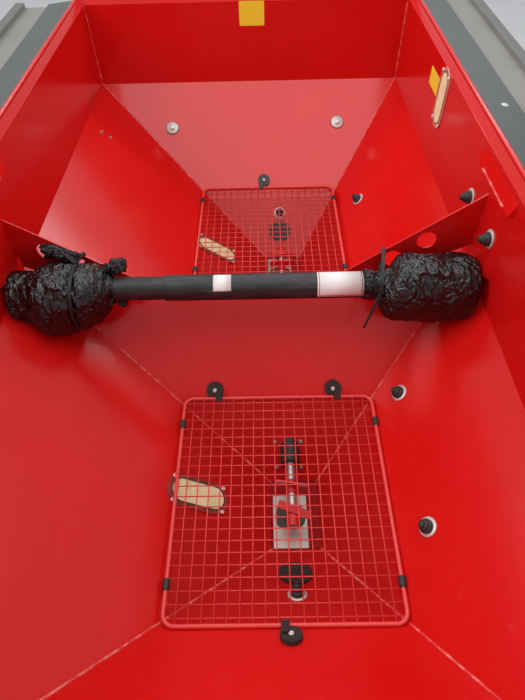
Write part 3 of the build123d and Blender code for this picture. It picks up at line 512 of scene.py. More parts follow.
def set_out(name, unit, seats, body, slot, *replaced):
    """One piece repeated on its seats, each a matrix in metres, and put on a body."""
    form = Form(name)
    kept = add(name + "_unit", unit)
    piece = form.size("Piece", kept, "Object")
    brought = form.node("GeometryNodeObjectInfo", None, {0: piece}, "Geometry")
    turns = form.node("GeometryNodeInputNamedAttribute", {"data_type": "FLOAT_VECTOR"}, {"Name": "turn"})
    placed = form.node("GeometryNodeInstanceOnPoints", None,
                       {"Points": form.carrier, "Instance": brought, "Rotation": turns})
    made = form.mesh(name, placed, unit.materials[0], [m.translation for m in seats], (),
                     [tuple(m.to_euler()) for m in seats], smooth=False)
    bpy.data.objects.remove(kept)
    fit(name, made, body, slot, *replaced)


rubber, place = finish("black_rubber")
bloom = place.cloud(70.0, 4.0, 0.6)
rubber_black = bloom.blend((0.012, 0.012, 0.013, 1), (0.040, 0.039, 0.038, 1))
lay_on(rubber, base_color=rubber_black, roughness=0.46 + bloom * 0.2,
       normal=place.relief(place.cloud(500.0, 2.0), 0.15, 0.0004))
sleeve_profile = [(5.1, -12.0), (7.6, -12.0), (8.2, -11.2), (8.5, -9.5), (8.2, -3.0), (8.2, 3.0),
                  (8.5, 9.5), (8.2, 11.2), (7.6, 12.0), (5.1, 12.0), (5.1, -12.0)]
sleeve = turned_piece("sleeve", sleeve_profile, 24, rubber)
for side, turned_x, shift in SIEVES:
    seats = [Matrix.Translation(spot(turned_x * SIEVE_X + x, y + shift, 0)) @
             Matrix.Rotation(math.pi / 2, 4, "Y") for x in (-210.0, 210.0) for y in (-265.0, 265.0)]
    set_out("sleeves_" + side, sleeve, seats, "sieve_" + side, "black_rubber", "sieve_sleeves_" + side)


def seat_on(normal, through, x, y, z, lift=0.0, along=(1, 0, 0)):
    """Where a piece stands on a sheet: its up is the sheet's inward normal, its x runs along."""
    inward = Vector(normal).normalized()
    point = Vector((x, y, z))
    point += inward * ((Vector(through) - point).dot(inward) + lift)
    first = Vector(along)
    first = (first - inward * first.dot(inward)).normalized()
    matrix = Matrix((first, inward.cross(first), inward)).transposed().to_4x4()
    matrix.translation = spot(*point)
    return matrix


FRONT = ((0, 1, FRONT_RUN), (0, -FRONT_Y, 0))
REAR = ((0, -1, REAR_RUN), (0, REAR_Y, 0))
END = {side: ((-side, 0, END_RUN), (side * END_X, 0, 0)) for side in (-1, 1)}
RIDGE = {side: ((side, 0, RIDGE_RUN), (side * RIDGE_X, 0, 0)) for side in (-1, 1)}
FRONT_PLATE = ((0, 1, 0), (0, FRONT_WALL, 0))


def prism(body, outline, low, high):
    """A closed upright piece on an outline, from one height to another, in mm."""
    lower, upper = ([body.verts.new((x / 1000, y / 1000, z / 1000)) for x, y in outline]
                    for z in (low, high))
    body.faces.new(lower[::-1])
    body.faces.new(upper)
    for i in range(len(outline)):
        j = (i + 1) % len(outline)
        body.faces.new([lower[i], lower[j], upper[j], upper[i]])


def soften(body, angle, radius, segments=2):
    """Turns the faces outwards and rounds the edges that are sharper than an angle."""
    bmesh.ops.recalc_face_normals(body, faces=body.faces)
    if radius:
        edges = [e for e in body.edges if len(e.link_faces) == 2 and e.calc_face_angle(0) > angle]
        bmesh.ops.bevel(body, geom=edges, offset=radius, segments=segments, affect="EDGES",
                        clamp_overlap=True)


CLIP_R, CLIP_ASIDE, CLIP_HIGH = 24.0, 11.5, 11.0


def clip_mesh(name, up_slope, turned_x, material):
    """A round body cut straight above the rod and a tail over one side of it, edges rounded."""
    tail_half, past = 9.0, 6.0
    cut = math.acos((up_slope - 7.5) / CLIP_R)
    disc = []
    for i in range(49):
        a = cut + (2 * math.pi - 2 * cut) * i / 48
        disc.append((CLIP_R * math.cos(a), turned_x * CLIP_ASIDE + CLIP_R * math.sin(a)))
    tail = [(0, -tail_half), (up_slope + past, -tail_half), (up_slope + past, tail_half), (0, tail_half)]
    body = bmesh.new()
    prism(body, disc, 0.0, CLIP_HIGH)
    prism(body, tail, CLIP_HIGH - 0.1, 15.5)
    soften(body, 0.6, 0.0012)
    return cast(name, body, material)


moulded, place = finish("moulded_black")
flow = place.cloud(120.0, 3.0)
lay_on(moulded, base_color=flow.blend((0.014, 0.014, 0.015, 1), (0.034, 0.034, 0.034, 1)),
       roughness=0.40 + flow * 0.16, normal=place.relief(place.cloud(700.0, 1.0), 0.2, 0.0003))
screw_zinc = mottled("pale_screw_heads", (0.60, 0.59, 0.56, 1), (0.83, 0.82, 0.78, 1), (150.0, 3.0),
                     0.34, 0.22, bump=(0.1, 0.0003), metallic=0.55)
screw_profile = [(0.0, 0.0), (6.2, 0.0), (6.2, 1.0), (5.6, 2.4), (4.2, 3.4), (2.4, 3.8), (2.2, 2.4),
                 (0.0, 2.4)]
screw = turned_piece("screw", screw_profile, 20, screw_zinc)
RIDGE_HOLD, END_HOLD = 24.0, 31.0
for (side, turned_x, shift), latch_y in zip(SIEVES, (0.0, 42.0)):
    down = (turned_x * RIDGE_RUN, 0, -1.0)
    down_end = (-turned_x * END_RUN, 0, -1.0)
    up, up_end = RIDGE_HOLD / math.hypot(*down), END_HOLD / math.hypot(*down_end)
    clips = [seat_on(*RIDGE[turned_x], turned_x * 234.0 - down[0] * up, y + shift, up, along=down)
             for y in (-168.0, 168.0)]
    latch = [seat_on(*END[turned_x], turned_x * 826.0 - down_end[0] * up_end, latch_y, up_end, lift=0.3,
                     along=down_end)]
    ridge_clip = clip_mesh("ridge_clip", RIDGE_HOLD, turned_x, moulded)
    end_clip = clip_mesh("end_clip", END_HOLD, turned_x, moulded)
    on_top = Matrix.Translation((0, turned_x * CLIP_ASIDE / 1000, CLIP_HIGH / 1000))
    set_out("clips_" + side, ridge_clip, clips, "hopper", "clip_plastic", "sieve_clips_" + side)
    set_out("latch_" + side, end_clip, latch, "sieve_" + side, "clip_plastic", "sieve_latch_" + side)
    set_out("clip_screws_" + side, screw, [seat @ on_top for seat in clips], "hopper", "zinc")
    set_out("latch_screw_" + side, screw, [seat @ on_top for seat in latch], "sieve_" + side, "zinc")


# Frame bolts: each is covered inside the hopper by a stepped rubber cap that stands on a pale steel
# washer, so that fertilizer doesn't reach the thread.
washer_steel = mottled("pale_washers", (0.50, 0.48, 0.44, 1), (0.76, 0.74, 0.70, 1), (60.0, 4.0),
                       0.30, 0.25, metallic=0.35)
cap_profile = [(0.0, 3.0), (16.0, 3.0), (16.6, 3.8), (16.4, 11.0), (15.2, 12.4), (12.8, 12.8), (12.4, 13.4),
               (12.2, 19.6), (11.2, 20.8), (8.6, 21.2), (8.0, 21.8), (7.7, 26.8), (6.6, 28.4), (4.0, 29.0),
               (0.0, 29.0)]
washer_profile = [(0.0, 0.0), (22.6, 0.0), (23.0, 0.5), (23.0, 2.2), (22.2, 3.0), (0.0, 3.0)]
bolt_seats = []
for turned_x in (-1, 1):
    for x in (268.0, 640.0):
        bolt_seats.append(seat_on(*FRONT, turned_x * x, -329.7, 60.0))
    bolt_seats.append(seat_on(*FRONT_PLATE, turned_x * 87.0, FRONT_WALL, 436.0, lift=14.5))
    bolt_seats.append(seat_on(*END[turned_x], turned_x * end_out(-70.0), -32.0, -70.0, along=(0, 1, 0)))
set_out("bolt_cap_set", turned_piece("cap", cap_profile, 36, rubber), bolt_seats, "hopper",
        "black_rubber", "bolt_caps")
set_out("bolt_washer_set", turned_piece("washer", washer_profile, 40, washer_steel), bolt_seats, "hopper",
        "zinc", "bolt_washers")


# Plain bolts in the left-hand end slope: zinc plated steel, each with a small hex head over a broad pale
# washer and a dark rubber gasket, put through the sheet from inside.
plain_seats = [seat_on(*END[1], 1037.0, 409.0, 153.0), seat_on(*END[1], 1037.0, -279.0, 170.0)]
for name, profile, segments, material, slot in (
        ("plain_bolt_gaskets", [(0.0, 0.0), (27.5, 0.0), (27.5, 1.4), (0.0, 1.4)], 36,
         rubber, "black_rubber"),
        ("plain_bolt_washers", [(0.0, 1.4), (25.5, 1.4), (25.5, 3.4), (24.6, 4.2), (0.0, 4.2)], 36,
         washer_steel, "zinc"),
        ("plain_bolt_heads", [(0.0, 4.2), (10.5, 4.2), (10.5, 9.6), (9.4, 10.6), (0.0, 10.6)], 6,
         screw_zinc, "zinc")):
    set_out(name, turned_piece(name + "_unit", profile, segments, material), plain_seats, "hopper", slot)


# Sight windows: a clear plastic plate is screwed over each long opening with four screws. The plate shows
# the red sheet through its margin, with a painted highlight that makes the margin paler pink on the front
# wall. Over the opening itself it is cream with mottled dust, and it glows a little, more on the front
# wall, as painted daylight coming through.
margin, place = finish("clear_plate_margin")
haze = place.cloud(40.0, 4.0, 0.6)
WALL_SIDE = 0.1
on_wall = place.part(1) < WALL_SIDE
seen_through = haze.blend((0.22, 0.012, 0.012, 1), (0.42, 0.060, 0.050, 1))
# Painted highlight: on the front wall the margin is blended towards pale pink.
lay_on(margin, base_color=(on_wall * 0.55).blend(seen_through, (0.95, 0.52, 0.40, 1)),
       roughness=0.14 + haze * 0.2, coat_weight=0.6, normal=place.relief(haze, 0.2, 0.001))
pane, place = finish("dusty_pane_with_painted_daylight")
dusting = place.cloud(26.0, 5.0, 0.6)
streaks = place.stretched(1.0, 1.0, 8.0).cloud(12.0, 3.0)
on_wall = place.part(1) < WALL_SIDE
pane_tone = dusting.blend((0.56, 0.48, 0.25, 1), (0.86, 0.81, 0.49, 1))
pane_tone = (streaks.between(0.5, 0.8) * 0.5).blend(pane_tone, (0.88, 0.86, 0.60, 1))
# Painted light: the pane glows, brighter on the front wall, as daylight coming through it.
lay_on(pane, base_color=pane_tone, roughness=0.24 + dusting * 0.3, coat_weight=0.3,
       normal=place.relief(dusting, 0.2, 0.001), emission_strength=0.25,
       emission_color=(0.40 + on_wall * 0.60).blend((0, 0, 0, 1), pane_tone))
foam, place = finish("window_foam")
lay_on(foam, base_color=place.cloud(90.0, 3.0).blend((0.030, 0.032, 0.024, 1), (0.085, 0.085, 0.062, 1)),
       roughness=0.85)


def slab(name, length, width, corner, low, high, material, soft=0.0):
    """A flat plate with round corners, from one height to another, in mm; its edges can be rounded."""
    outline = []
    for turn_x, turn_y, start in ((1, 1, 0.0), (-1, 1, 0.5), (-1, -1, 1.0), (1, -1, 1.5)):
        for i in range(13):
            a = math.pi * (start + i / 24)
            outline.append((turn_x * (length / 2 - corner) + corner * math.cos(a),
                            turn_y * (width / 2 - corner) + corner * math.sin(a)))
    body = bmesh.new()
    prism(body, outline, low, high)
    bmesh.ops.remove_doubles(body, verts=body.verts, dist=1e-6)
    soften(body, 0.8, soft)
    return cast(name, body, material)


window_seats = []
for turned_x in (-1, 1):
    window_seats.append(seat_on(*REAR, turned_x * 500.0, 216.0, -55.0, along=(0, 1, 0)))
    window_seats.append(seat_on(*FRONT_PLATE, turned_x * 542.0, FRONT_WALL, 484.0, along=(0, 0, 1)))
screw_seats = [seat @ Matrix.Translation((0.072 * sx, 0.033 * sy, 0.004))
               for seat in window_seats for sx in (-1, 1) for sy in (-1, 1)]
plate = slab("window_plate", 180.0, 90.0, 44.9, 0.0, 4.0, margin, 0.0008)
edging = slab("window_edging", 158.0, 73.0, 36.4, 0.2, 4.2, foam)
opening = slab("window_pane", 150.0, 60.0, 29.9, -3.1, 4.5, pane)
set_out("window_plates", plate, window_seats, "hopper", "clear_plastic", "sight_windows")
set_out("window_edgings", edging, window_seats, "hopper", "black_rubber")
set_out("window_panes", opening, window_seats, "hopper", "clear_plastic")
set_out("window_screws", screw, screw_seats, "hopper", "zinc")


# Small fasteners: screws of the agitator bearings beside each boot, two at the back of the left-hand
# funnel, and a round-headed bolt in each grey cover. The heads are zinc plated.
small_seats = [seat_on(*RIDGE[turned_x], turned_x * x, y, z) for turned_x in (-1, 1) for x, y, z in (
    (329.5, 11.0, -92.0), (330.5, -64.0, -92.0), (382.5, 6.0, -146.0), (382.5, -63.0, -146.0))]
small_seats += [seat_on(*REAR, 846.0, 650.0, 243.0), seat_on(*REAR, 842.0, 620.0, 222.0)]
dull_zinc = mottled("dusty_screw_heads", (0.22, 0.13, 0.10, 1), (0.50, 0.40, 0.33, 1), (160.0, 3.0),
                    0.42, 0.2, metallic=0.3)
small_profile = [(0.0, 0.0), (7.0, 0.0), (7.0, 1.2), (5.4, 1.3), (5.4, 4.4), (4.6, 5.2), (0.0, 5.2)]
small_head = turned_piece("small_head", small_profile, 6, dull_zinc)
set_out("small_bolt_heads", small_head, small_seats, "hopper", "zinc")
dome_profile = [(0.0, 0.0), (11.5, 0.0), (11.2, 1.2), (9.4, 3.0), (6.0, 4.4), (0.0, 5.0)]
dome_seats = []
for wall_y, out in WALLS:
    fall = Vector((0, out * 10.0, 92.0)).normalized()
    for x in (-620.0, 281.0):
        dome_seats.append(seat_on(fall, (0, wall_y + out * 30.0, 588.0), x, wall_y + out * 83.0, 583.0))
dome = turned_piece("dome", dome_profile, 28, washer_steel)
set_out("cover_bolt_heads", dome, dome_seats, "hopper", "zinc")


# Blank plates: two of yellow vinyl stuck on the walls, and two white ones wrapped round the shaft's guard,
# the larger one with a thin red border. None has any mark.
vinyl, place = finish("yellow_vinyl")
lay_on(vinyl, base_color=place.cloud(30.0, 2.0).blend((0.93, 0.74, 0.030, 1), (0.97, 0.81, 0.050, 1)),
       roughness=0.34 + place.cloud(200.0, 1.0) * 0.1)
END_WALL = 1184.0
yellow_seats = [seat_on(*FRONT_PLATE, 654.0, FRONT_WALL, 490.0),
                seat_on((-1, 0, 0), (END_WALL, 0, 0), END_WALL, 66.0, 528.0, along=(0, 1, 0))]
for number, (long_side, high_side) in enumerate(((104.0, 54.0), (96.0, 84.0))):
    sticker = slab("yellow_plate", long_side, high_side, 4.0, 0.0, 0.5, vinyl)
    set_out(f"blank_yellow_{number}", sticker, [yellow_seats[number]], "hopper", None)
paper, place = finish("white_label")
lay_on(paper, base_color=place.cloud(50.0, 3.0).blend((0.76, 0.74, 0.72, 1), (0.88, 0.87, 0.85, 1)),
       roughness=0.42 + place.cloud(120.0, 2.0) * 0.1)
border, place = finish("red_label_border")
lay_on(border, base_color=place.cloud(50.0, 3.0).blend((0.52, 0.010, 0.030, 1), (0.62, 0.020, 0.045, 1)),
       roughness=0.40)
SHAFT_X, SHAFT_Z, GUARD_R = -86.0, 295.0, 34.0


def wrapped(name, low_y, high_y, low_deg, high_deg, lift, material):
    """A label bent round the shaft's guard."""
    steps = 28
    points, faces = [], []
    for i in range(steps + 1):
        a = math.radians(low_deg + (high_deg - low_deg) * i / steps)
        for r in (GUARD_R - 0.1, GUARD_R + lift):
            for y in (low_y, high_y):
                points.append(spot(SHAFT_X + r * math.cos(a), y, SHAFT_Z + r * math.sin(a)))
    for i in range(steps):
        a, b = 4 * i, 4 * i + 4
        faces += [(a + 2, a + 3, b + 3, b + 2), (a, b, b + 1, a + 1),
                  (a, a + 2, b + 2, b), (a + 1, b + 1, b + 3, a + 3)]
    faces += [(0, 1, 3, 2), (4 * steps, 4 * steps + 2, 4 * steps + 3, 4 * steps + 1)]
    mesh = bpy.data.meshes.new(name)
    mesh.from_pydata(points, [], faces)
    mesh.materials.append(material)
    for face in mesh.polygons:
        face.use_smooth = len(face.vertices) == 4 and face.index % 4 < 2
    return mesh


for name, y_from, y_to, a_from, a_to, lift, material in (
        ("blank_label_small", 118.0, 164.0, 71.0, 156.0, 0.30, paper),
        ("blank_label_large", -221.5, -103.0, 50.0, 198.0, 0.22, paper),
        ("blank_label_border", -217.5, -107.0, 56.0, 192.0, 0.36, border),
        ("blank_label_field", -215.7, -108.8, 59.0, 189.0, 0.50, paper)):
    fit(name, wrapped(name, y_from, y_to, a_from, a_to, lift, material), "hopper", None)


# Outlets: stainless floor pans with the shutters under them, the agitator shafts, their red hubs, the cast
# bearings under the ridge and the rubber boots and plugs.
stainless, place = finish("worn_stainless")
brushed = place.stretched(1.0, 30.0, 1.0).cloud(40.0, 4.0, 0.6)
pits = place.cloud(160.0, 4.0, 0.7).between(0.55, 0.75)
steel_tone = brushed.blend((0.36, 0.34, 0.30, 1), (0.58, 0.55, 0.49, 1))
lay_on(stainless, base_color=(pits * 0.7).blend(steel_tone, (0.20, 0.17, 0.13, 1)),
       roughness=0.34 + brushed * 0.22, metallic=0.55)
shut_steel = mottled("dull_shutter_plate", (0.030, 0.036, 0.026, 1), (0.095, 0.095, 0.070, 1),
                     (70.0, 4.0, 0.65), 0.50, 0.2)
turned_steel = mottled("turned_steel", (0.38, 0.37, 0.35, 1), (0.68, 0.67, 0.64, 1), (20.0, 3.0),
                       0.28, 0.2, drawn=(40.0, 1.0, 1.0), metallic=0.9)
casting = mottled("painted_casting", (0.050, 0.052, 0.054, 1), (0.105, 0.105, 0.104, 1), (240.0, 4.0, 0.7),
                  0.55, 0.2, bump=(0.5, 0.0008))
hub_paint, place = finish("worn_red_hub")
chips = place.cloud(120.0, 4.0, 0.7).between(0.60, 0.70)
lay_on(hub_paint, base_color=(chips * 0.6).blend((0.60, 0.012, 0.014, 1), (0.30, 0.28, 0.26, 1)),
       roughness=0.35 + chips * 0.2)
for side in ("right", "left"):
    coat(stainless, "floor_pan_" + side)
    coat(shut_steel, "shutter_" + side)
    coat(turned_steel, "agitator_shaft_" + side)
    coat(hub_paint, "agitator_star_" + side)
    coat(casting, "bearing_" + side)
    coat(rubber, "shaft_boot_" + side, "end_plug_" + side)


# Drive shaft: it lies across the ridge, tied up for transport. The guard is a matte black plastic tube in
# two sizes that slide in each other, with two blank labels.
guard_plastic, place = finish("guard_plastic")
rub = place.stretched(6.0, 1.0, 6.0).cloud(16.0, 5.0, 0.65)
guard_tone = rub.between(0.45, 0.75).blend((0.016, 0.017, 0.019, 1), (0.050, 0.052, 0.055, 1))
lay_on(guard_plastic, base_color=guard_tone, roughness=0.42 + rub * 0.18,
       normal=place.relief(place.cloud(300.0, 2.0), 0.12, 0.0005))
coat(guard_plastic, "drive_shaft_outer", "drive_shaft_inner")


# Film bags over the shaft's joints: thin glossy black film, pulled over each end and gathered round the
# shaft, with far more film than it covers. Cloth crumples it, between long sharp folds that are laid on.
film_black, place = finish("black_film")
mottle = place.cloud(46.0, 5.0, 0.55)
creases = place.stretched(0.4, 0.5, 1.0).cloud(70.0, 2.0, 0.5)
crease = creases.between(0.43, 0.50) - creases.between(0.50, 0.57)
hang = Vector((-0.77, -0.50, -0.64)).normalized()
ASLANT = Vector((0.3, -0.5, 0.8))
beside = hang.cross(ASLANT).normalized()
bow = place.cloud(16.0, 1.0) * 0.030
pleat_place = place.node("ShaderNodeCombineXYZ", None, {
    0: place.along(hang * 0.14), 1: place.along(beside) + bow, 2: place.along(hang.cross(beside)) - bow})
pleats = pleat_place.cloud(95.0, 2.0, 0.55)
pleat = pleats.between(0.35, 0.455) - pleats.between(0.455, 0.56)
lay_on(film_black, base_color=mottle.blend((0.002, 0.002, 0.002, 1), (0.008, 0.007, 0.007, 1)),
       roughness=0.05 + mottle * 0.08, normal=place.relief(crease * 0.5 + pleat, 0.42, 0.0020),
       specular_ior_level=0.60)
SAG_X, SAG_Z = -0.69, -0.724
GUSSET_FACE, FILM_FRONT, FILM_REAR = -2.0, -510.0, 693.0


def film_grid(rings, out, around, step, inset):
    """Staggered rows of points round the shaft, through rings of (distance, radius, sag, shear)."""
    ys, rs, sags, shears = zip(*rings)
    span = [0.0]
    for i in range(1, len(rings)):
        span.append(span[-1] + math.hypot(ys[i] - ys[i - 1], rs[i] - rs[i - 1]))
    count = int(span[-1] / step)
    points, faces = [], []
    for k in range(count + 1):
        s = span[-1] * k / count
        near = np.linspace(s - 6.0, s + 6.0, 9) if 0 < k < count else np.array([s])
        y, r, sag, shear = (float(np.mean(np.interp(near, span, v))) for v in (ys, rs, sags, shears))
        r = max(r - inset, min(r, GUARD_R - 0.5))
        for i in range(around):
            a = 2 * math.pi * (i + 0.5 * (k % 2)) / around
            down = SAG_X * math.cos(a) + SAG_Z * math.sin(a)
            points.append((SHAFT_X + r * math.cos(a) + SAG_X * sag, out * (y - shear * down),
                           SHAFT_Z + r * math.sin(a) + SAG_Z * sag))
        for i in range(around if k < count else 0):
            j = (i + 1) % around
            a, b = k * around, (k + 1) * around
            if k % 2:
                faces += [(a + i, a + j, b + j), (a + i, b + j, b + i)]
            else:
                faces += [(a + i, a + j, b + i), (a + j, b + j, b + i)]
    if out < 0:
        faces = [face[::-1] for face in faces]
    return np.array(points), faces


def keep_within(points, out, clear=1.0):
    """Film stays off the gusset's plate and off the sheets below it."""
    points[:, 0] = np.minimum(points[:, 0], GUSSET_FACE - clear)
    points[:, 1] = np.clip(points[:, 1], FILM_FRONT, FILM_REAR)
    for normal, through in (RIDGE[-1], FRONT if out < 0 else REAR):
        normal = np.array(normal, float) / np.linalg.norm(normal)
        depth = (points - np.array(through, float)) @ normal - clear
        points -= np.minimum(depth, 0.0)[:, None] * normal
    return points


def folded(points, away, height, run, long, across, shift):
    """Sharp folds: thin ridges drawn out along one direction, pushed outwards."""
    run = Vector(run).normalized()
    side = run.cross(ASLANT).normalized()
    third = run.cross(side)
    for i, point in enumerate(points):
        v = Vector(point)
        bend = noise.noise(v * 0.016 + Vector((shift, 0, 0)))
        at = Vector((v.dot(run) / long + shift, v.dot(side) / across + bend * 1.1, v.dot(third) / across))
        thin = max(0.0, 1.0 - abs(noise.noise(at)) * 3.2)
        here = min(1.0, max(0.15, 0.75 + 1.5 * noise.noise(v * 0.013 + Vector((0, shift, 3.0)))))
        points[i] += away[i] * height * here * thin
    return points


def film_bag(name, rings, out, shift, run, replaced):
    """Film over its rings: folded, crumpled on to a core by cloth, and folded once more."""
    around, frames, cap = 190, 11, 9.0
    start, faces = film_grid(rings, out, around, 2.75, 0.0)
    away = start - np.array([SHAFT_X, 0, SHAFT_Z])
    away[:, 1] = 0
    away /= np.linalg.norm(away, axis=1)[:, None] + 1e-9
    start = folded(start, away, 5.0, run, 120.0, 20.0, shift)
    start = folded(start, away, 1.6, (0.5, 0.6, -0.6), 60.0, 24.0, shift + 4.0)
    start = keep_within(start, out)
    mesh = bpy.data.meshes.new(name)
    mesh.from_pydata([spot(*q) for q in start], [], faces)
    mesh.materials.append(film_black)
    film = fit(name, mesh, "hopper", "black_film", replaced)
    within, core_faces = film_grid(rings, out, 72, 8.0, 7.0)
    within = keep_within(within, out, 6.0)
    core_mesh = bpy.data.meshes.new(name + "_core")
    core_mesh.from_pydata([spot(*q) for q in within], [], core_faces)
    core = add(name + "_core", core_mesh)
    core.modifiers.new("core", "COLLISION")
    core.collision.thickness_outer = 0.002
    core.collision.cloth_friction = 20.0
    held = film.vertex_groups.new(name="held")
    held.add(list(range(len(start))), 0.20, "REPLACE")
    held.add(list(range(around)) + list(range(len(start) - around, len(start))), 1.0, "REPLACE")
    cloth = film.modifiers.new("film", "CLOTH")
    settings = cloth.settings
    settings.quality = 6
    settings.mass = 0.04
    settings.tension_stiffness = settings.compression_stiffness = 25.0
    settings.shear_stiffness = 12.0
    settings.bending_stiffness = 0.02
    settings.tension_damping = settings.compression_damping = settings.shear_damping = 8.0
    settings.bending_damping = 0.5
    settings.air_damping = 4.0
    settings.shrink_min = -0.20
    settings.vertex_group_mass = "held"
    settings.pin_stiffness = 4.0
    settings.effector_weights.gravity = 0.0
    cloth.collision_settings.distance_min = 0.0015
    cloth.collision_settings.collision_quality = 3
    cloth.point_cache.frame_end = frames
    for frame_number in range(1, frames + 1):
        bpy.context.scene.frame_set(frame_number)
    settled = film.evaluated_get(bpy.context.evaluated_depsgraph_get())
    moved = np.empty(len(start) * 3)
    settled.data.vertices.foreach_get("co", moved)
    moved = moved.reshape(-1, 3) * 1000 - np.array([0, RIDGE_Y, RIDGE_Z])
    film.modifiers.remove(cloth)
    film.vertex_groups.clear()
    bpy.data.objects.remove(core)
    bpy.context.scene.frame_set(1)
    step = moved - start
    length = np.linalg.norm(step, axis=1) + 1e-9
    moved = start + step * (cap * np.tanh(length / cap) / length)[:, None]
    moved = keep_within(folded(moved, away, 3.4, run, 130.0, 17.0, shift + 9.0), out)
    mesh.vertices.foreach_set("co", (moved / 1000 + np.array([0, RIDGE_Y, RIDGE_Z]) / 1000).ravel())
    for face in mesh.polygons:
        face.use_smooth = True
    mesh.update()


front_rings = [
    (222.0, 34.5, 0, 0), (223.0, 40.0, 0, 0), (230.0, 44.0, 0, 0), (250.0, 43.0, 1, 2), (264.0, 42.0, 2, 8),
    (273.0, 48.0, 3, 15), (283.0, 68.0, 6, 18), (294.0, 83.0, 9, 16), (312.0, 89.0, 10, 8),
    (400.0, 93.0, 11, 0), (470.0, 92.0, 10, 0), (497.0, 87.0, 9, 0), (506.0, 80.0, 7, 0),
    (508.5, 60.0, 4, 0), (508.5, 2.0, 0, 0)]
rear_rings = [
    (424.0, 31.0, 0, 0), (425.0, 41.0, 0, 0), (432.0, 47.0, 6, 0), (442.0, 60.0, 8, 0),
    (465.0, 80.0, 10, 0), (500.0, 91.0, 17, 0), (506.0, 90.0, 18, 0), (511.0, 83.0, 18, 0),
    (517.0, 83.0, 18, 0), (523.0, 93.0, 20, 0), (556.0, 100.0, 24, 0), (594.0, 101.0, 25, 0),
    (612.0, 93.0, 24, 0), (630.0, 76.0, 20, 0), (644.0, 70.0, 18, 0), (664.0, 72.0, 16, 0),
    (688.0, 71.0, 14, 0), (692.0, 62.0, 10, 0), (692.5, 40.0, 5, 0), (692.5, 2.0, 0, 0)]
film_bag("film_bag_front", front_rings, -1, 0.0, (-0.77, -0.9, -0.64), "shaft_bag_front")
film_bag("film_bag_rear", rear_rings, 1, 5.0, (-0.77, -0.25, -0.64), "shaft_bag_rear")


# Bunched film at the rear bag: its mouth is knotted above the shaft, and a twist of it lies along the
# top of the bag and goes through the gusset's hole.
knot = bmesh.new()
for (x, y, z), size, stretch in (
        ((-46.0, 417.0, 338.0), 20.0, (1.0, 1.05, 0.95)), ((-44.0, 438.0, 328.0), 15.0, (1.0, 1.3, 0.9)),
        ((-104.0, 408.0, 262.0), 10.0, (1.0, 1.1, 0.9)), ((-22.0, 540.0, 355.0), 14.0, (0.9, 1.7, 1.0)),
        ((-21.0, 566.0, 363.0), 15.0, (0.9, 1.5, 0.9)), ((-13.0, 592.0, 366.0), 15.0, (1.0, 1.2, 1.0)),
        ((5.0, 603.0, 364.0), 14.0, (1.2, 1.0, 1.1))):
    lump = bmesh.ops.create_icosphere(knot, subdivisions=5, radius=1.0)
    for vert in lump["verts"]:
        unit = vert.co.copy()
        seed = Vector((x, y, z)) * 0.1
        fold = 0.86 + 0.42 * noise.noise(unit * 1.4 + seed)
        fold += 0.34 * max(0.0, 1.0 - abs(noise.noise(unit * 2.6 + seed * 2)) * 4.0)
        fold += 0.16 * max(0.0, 1.0 - abs(noise.noise(unit * 6.0 + seed * 3)) * 3.5)
        vert.co = spot(x, y, z) + Vector([unit[k] * stretch[k] * size * fold / 1000 for k in range(3)])
knot_mesh = cast("film_knot", knot, film_black, True)
fit("film_knot", knot_mesh, "hopper", "black_film")


# Cable ties: black nylon straps, each once round a bag and over the gusset's edge, back through its hole.
# The square head sits on the near side, and the tail sticks out of it.
tie_black, place = finish("black_ties")
lay_on(tie_black, base_color=place.cloud(80.0).blend((0.006, 0.006, 0.006, 1), (0.020, 0.020, 0.020, 1)),
       roughness=0.42 + place.cloud(400.0, 1.0) * 0.1, specular_ior_level=0.40)


def strap(body, path, wide, thick, closed):
    """A flat strap along points, its width along Y; the tail of an open one narrows."""
    rows = []
    count = len(path)
    for i, point in enumerate(path):
        ahead_of = path[(i + 1) % count] if closed or i < count - 1 else point
        behind_of = path[i - 1] if closed or i > 0 else point
        run = (Vector(ahead_of) - Vector(behind_of)).normalized()
        side = Vector((0, 1, 0))
        side = (side - run * side.dot(run)).normalized()
        up = run.cross(side)
        half = wide / 2 * (1.0 if closed or i < count - 2 else 0.6)
        rows.append([body.verts.new(spot(*(Vector(point) + side * a * half + up * b * thick / 2)))
                     for a, b in ((-1, -1), (1, -1), (1, 1), (-1, 1))])
    for i in range(count if closed else count - 1):
        low, high = rows[i], rows[(i + 1) % count]
        for k in range(4):
            m = (k + 1) % 4
            body.faces.new([low[k], low[m], high[m], high[k]])
    if not closed:
        body.faces.new(rows[0][::-1])
        body.faces.new(rows[-1])


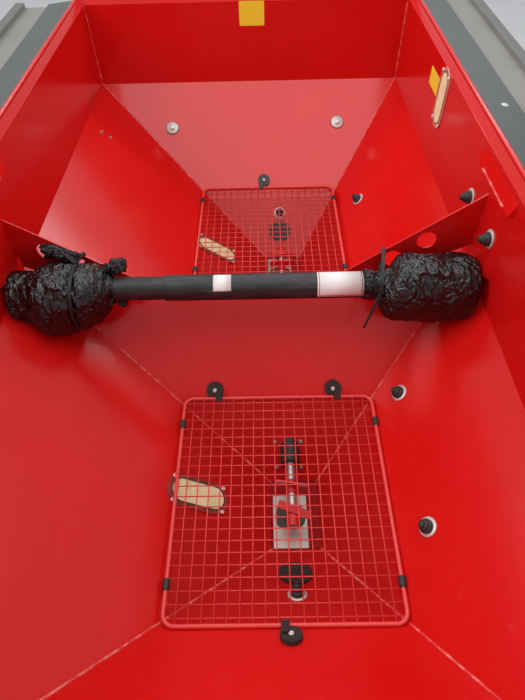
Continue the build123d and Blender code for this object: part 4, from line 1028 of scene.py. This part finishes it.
for name, grip, sag, y_far, y_near, top, low, head_deg, tail_end in (
        ("front", 45.0, 2.0, -284.0, -262.0, 344.5, 300.0, 158.0, (-180.0, -222.0, 230.0)),
        ("rear", 84.5, 18.0, 513.0, 515.0, 346.5, 305.0, 62.0, (-30.0, 556.0, 376.0))):
    mid_x, mid_z = SHAFT_X + SAG_X * sag, SHAFT_Z + SAG_Z * sag
    corners = [(3.3, low), (3.3, top)]
    for i in range(72):
        a = 2 * math.pi * i / 72
        corners.append((mid_x + grip * math.cos(a), mid_z + grip * math.sin(a)))
    corners.sort()
    lower, upper = [], []
    for chain, order in ((lower, corners), (upper, corners[::-1])):
        for q in order:
            while len(chain) > 1 and ((chain[-1][0] - chain[-2][0]) * (q[1] - chain[-2][1])
                                      - (chain[-1][1] - chain[-2][1]) * (q[0] - chain[-2][0])) <= 0:
                chain.pop()
            chain.append(q)
    ring = lower[:-1] + upper[:-1]
    path = [(x, y_far + (y_near - y_far) * (3.0 - x) / (89.0 + grip), z) for x, z in ring]
    body = bmesh.new()
    strap(body, path, 9.6, 1.7, True)
    a = math.radians(head_deg)
    head = Vector((mid_x + (grip + 3.5) * math.cos(a), y_near, mid_z + (grip + 3.5) * math.sin(a)))
    outward = Vector((math.cos(a), 0, math.sin(a)))
    turn_to = Matrix((Vector((-math.sin(a), 0, math.cos(a))), Vector((0, 1, 0)), outward)).transposed()
    made = bmesh.ops.create_cube(body, size=1.0)
    for vert in made["verts"]:
        vert.co = spot(*(head + turn_to @ Vector((vert.co.x * 13.0, vert.co.y * 12.0, vert.co.z * 7.0))))
    middle = head.lerp(Vector(tail_end), 0.5) + outward * 5.0
    tail = [head.lerp(middle, s / 4).lerp(middle.lerp(Vector(tail_end), s / 4), s / 4) for s in range(5)]
    strap(body, [tuple(q) for q in tail], 9.0, 1.6, False)
    soften(body, 0.9, 0.0004, 1)
    fit("cable_tie_" + name, cast("cable_tie_" + name, body, tie_black), "hopper", "tie_plastic",
        "shaft_tie_" + name)
